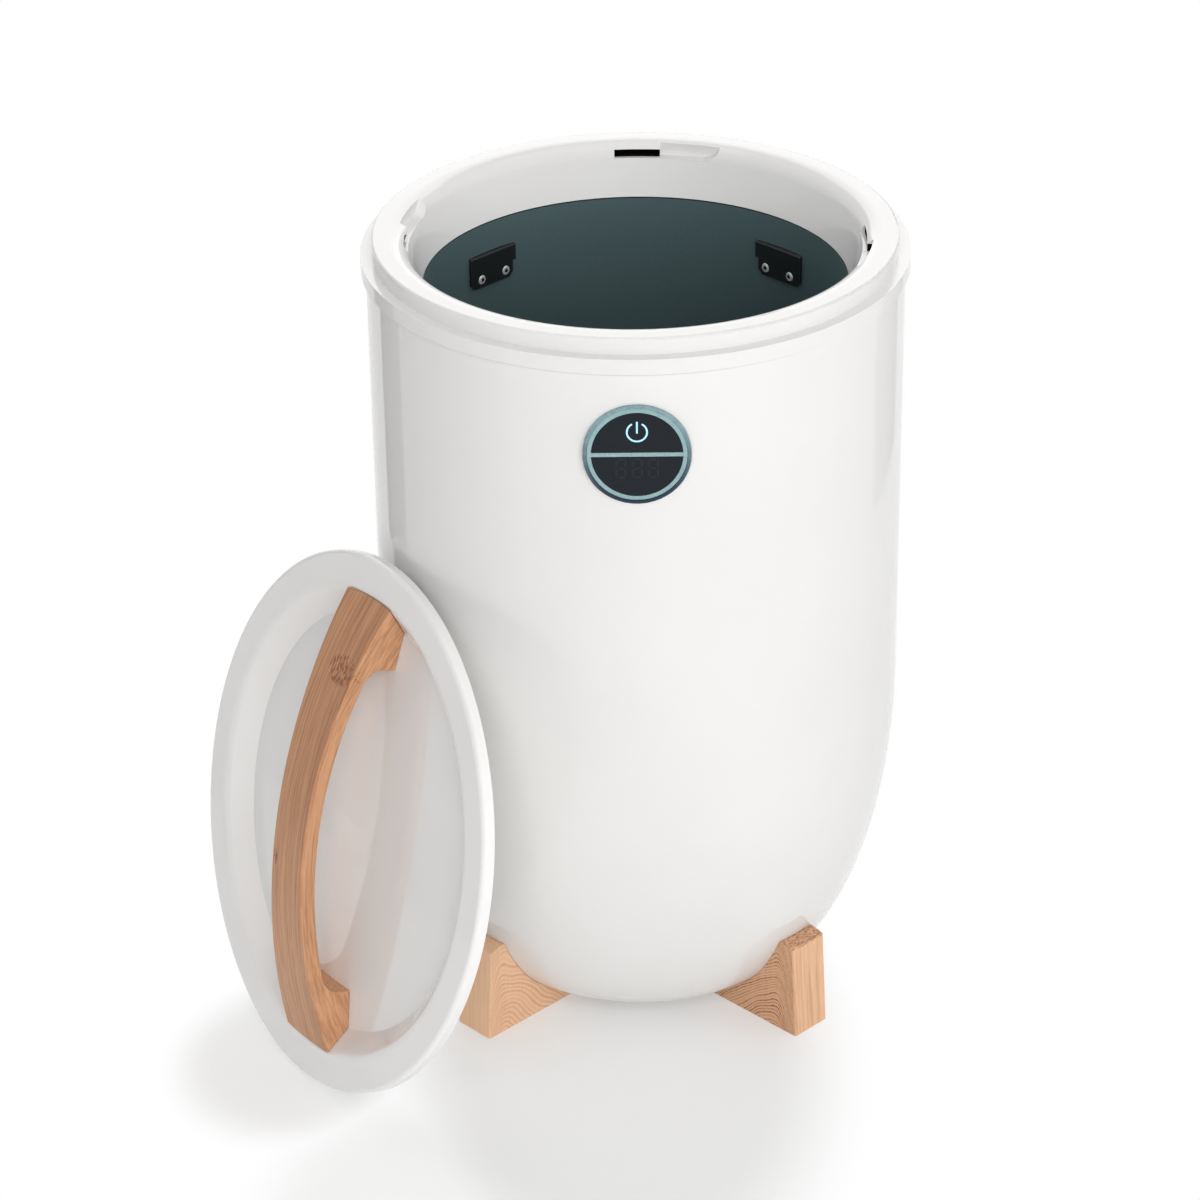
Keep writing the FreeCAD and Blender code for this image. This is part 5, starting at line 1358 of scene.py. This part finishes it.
@dataclass
class Softbox:
    """A large soft lamp."""

    name: str
    place: Triple
    width: float
    height: float
    watts: float
    mirrored: bool = False
    aim: Triple = (0.0, 0.0, 0.25)

    def build(self) -> None:
        """Hangs the lamp and turns it to its aim."""
        lamp = bpy.data.lights.new(self.name, "AREA")
        lamp.shape = "RECTANGLE"
        lamp.size, lamp.size_y, lamp.energy = self.width, self.height, self.watts
        hung = bpy.data.objects.new(self.name, lamp)
        hung.location = self.place
        hung.visible_glossy = self.mirrored
        hung.rotation_euler = (Vector(self.aim) - hung.location).to_track_quat("-Z", "Y").to_euler()
        bpy.context.scene.collection.objects.link(hung)
        log.info("%s gives %.0f W", self.name, self.watts)


def seen_directly(tree: Tree) -> Socket:
    """Tells what is looked at from what only gives light.

    Args:
        tree: The material's or the world's tree.

    Returns:
        One where the camera, a reflection or glass looks, and zero for the light that a surface gathers.
    """
    rays = tree.add("ShaderNodeLightPath").outputs
    mirrored = tree.sum("MAXIMUM", rays["Is Camera Ray"], rays["Is Glossy Ray"])
    return tree.sum("MAXIMUM", mirrored, rays["Is Transmission Ray"])


def stage_sheet(name: str, corners: list[Triple]) -> tuple[bpy.types.Object, bpy.types.Material]:
    """Stands one flat sheet of the studio.

    Args:
        name: The sheet's name.
        corners: Its four corners in order.

    Returns:
        The sheet and its empty material.
    """
    mesh = bpy.data.meshes.new(name)
    mesh.from_pydata(corners, [], [(0, 1, 2, 3)])
    sheet = bpy.data.objects.new(name, mesh)
    bpy.context.scene.collection.objects.link(sheet)
    material = bpy.data.materials.new(name)
    material.use_nodes = True
    mesh.materials.append(material)
    return sheet, material


@dataclass
class Flag:
    """A standing grey card that only shows in gloss, as a studio's wall beyond the light does."""

    name: str
    start: tuple[float, float]
    end: tuple[float, float]
    height: float
    grey: float

    def build(self) -> None:
        """Stands the card between its two ends."""
        foot = [(*self.start, 0.0), (*self.end, 0.0)]
        head = [(*self.end, self.height), (*self.start, self.height)]
        card, material = stage_sheet(self.name, foot + head)
        tree = Tree(material.node_tree)
        glow = tree.add("ShaderNodeEmission", {"Strength": self.grey})
        tree.feed(material.node_tree.nodes["Material Output"].inputs["Surface"], glow.outputs[0])
        card.visible_camera = card.visible_diffuse = card.visible_shadow = card.visible_transmission = False


@dataclass
class Shadow:
    """An oval of floor that keeps its shadow, and turns white round its edge."""

    centre: tuple[float, float]
    size: tuple[float, float]
    lift: float
    start: float = 0.9
    end: float = 1.65

    def fade(self, tree: Tree) -> Socket:
        """How white the floor is shown, from the oval's lift to one.

        Args:
            tree: The floor material's tree.

        Returns:
            The share of white.
        """
        offset = tree.vector("SUBTRACT", tree.place(), (*self.centre, 0.0))
        oval = tree.vector("DIVIDE", offset, (*self.size, 1.0))
        return tree.ramp(tree.gauge("LENGTH", oval), self.start, self.end, self.lift, 1.0)


@dataclass
class Studio:
    """A plain pale floor that fades to white, soft lamps, grey cards and an even surround."""

    floor_reach: float = 14.0
    floor_drop: float = 0.2 * MM
    floor_look: tuple[tuple[str, Feed], ...] = (
        ("Base Color", tone(240, 240, 239)), ("Roughness", 0.7), ("IOR", 1.25)
    )
    surround: float = 0.22
    shadows: tuple[Shadow, ...] = (
        Shadow((-0.012, -0.14), (0.095, 0.17), 0.3),
        Shadow((-0.215, -0.135), (0.05, 0.06), 0.45),
        Shadow((-0.13, -0.32), (0.07, 0.11), 0.6),
    )
    lamps: tuple[Softbox, ...] = (
        Softbox("front_softbox", (0.35, -2.4, 1.5), 2.2, 1.6, 40.0),
        Softbox("low_softbox", (0.2, -2.6, 0.6), 2.2, 0.9, 6.0),
        Softbox("right_softbox", (2.4, -0.3, 1.3), 1.8, 1.6, 14.0),
        Softbox("left_softbox", (-1.8, 1.4, 1.4), 1.8, 1.6, 16.0),
        Softbox("top_softbox", (0.1, 0.2, 2.3), 1.8, 1.6, 7.0, mirrored=True),
        Softbox("back_softbox", (0.2, 2.2, 1.6), 2.2, 1.6, 17.0, mirrored=True),
    )
    flags: tuple[Flag, ...] = (
        Flag("lid_flag", (-0.62, -0.5), (-0.62, 0.21), 0.5, 0.75),
        Flag("left_flag", (-0.62, 0.21), (-0.55, 0.43), 0.5, 0.25),
        Flag("right_flag", (0.70, 0.30), (0.55, 0.62), 0.6, 0.65),
    )

    def floor(self) -> None:
        """Lays the floor: it keeps the object's shadow, turns white further out and is clear from below."""
        reach = self.floor_reach
        plan = ((-reach, -reach), (reach, -reach), (reach, reach), (-reach, reach))
        _, material = stage_sheet("studio_floor", [(x, y, -self.floor_drop) for x, y in plan])
        tree = Tree(material.node_tree)
        paper = material.node_tree.nodes["Principled BSDF"]
        for name, value in self.floor_look:
            paper.inputs[name].default_value = value
        fade: Feed = 1.0
        for shadow in self.shadows:
            fade = tree.sum("MINIMUM", fade, shadow.fade(tree))
        share = tree.times(fade, seen_directly(tree))
        white = tree.add("ShaderNodeEmission", {"Color": PURE_WHITE, "Strength": 1.0})
        mixed = tree.add("ShaderNodeMixShader", {0: share, 1: paper.outputs[0], 2: white.outputs[0]})
        below = tree.add("ShaderNodeNewGeometry").outputs["Backfacing"]
        clear = tree.add("ShaderNodeBsdfTransparent")
        shown = tree.add("ShaderNodeMixShader", {0: below, 1: mixed.outputs[0], 2: clear.outputs[0]})
        tree.feed(material.node_tree.nodes["Material Output"].inputs["Surface"], shown.outputs[0])

    def sky(self) -> None:
        """Sets the surround: white where it is seen, softer where it lights."""
        world = bpy.data.worlds.new("studio_surround")
        world.use_nodes = True
        bpy.context.scene.world = world
        tree = Tree(world.node_tree)
        strength = tree.ramp(seen_directly(tree), 0.0, 1.0, self.surround, 1.0)
        tree.feed(world.node_tree.nodes["Background"].inputs["Color"], PURE_WHITE)
        tree.feed(world.node_tree.nodes["Background"].inputs["Strength"], strength)

    def build(self) -> None:
        """Lays the floor, sets the surround, hangs the lamps and stands the cards."""
        self.floor()
        self.sky()
        for item in (*self.lamps, *self.flags):
            item.build()


@dataclass
class PhotoCamera:
    """The camera at the photograph's place, angle and lens."""

    place: Triple = (0.0011, -2.1407, 1.3914)
    yaw: float = -0.0115
    pitch: float = 0.492
    roll: float = -0.0145
    lens: float = 119.607

    def build(self) -> None:
        """Makes the camera and hands it to the scene."""
        data = bpy.data.cameras.new("photo_camera")
        data.lens = self.lens
        camera = bpy.data.objects.new("photo_camera", data)
        camera.matrix_world = Matrix.Translation(self.place)
        for angle, axis in ((-self.yaw, "Z"), (math.pi / 2 - self.pitch, "X"), (self.roll, "Z")):
            camera.matrix_world @= Matrix.Rotation(angle, 4, axis)
        bpy.context.scene.collection.objects.link(camera)
        bpy.context.scene.camera = camera


def main() -> None:
    """Builds the looks of every sub-assembly, then the studio and the camera."""
    logging.basicConfig(level=logging.INFO, format="%(message)s")
    bpy.context.scene.view_settings.view_transform = "Standard"
    for part in (Housing(), Panel(), Base(), Feet(), Lid(), Studio(), PhotoCamera()):
        part.build()
        log.info("%s done", type(part).__name__)


if __name__ == "__main__":
    main()
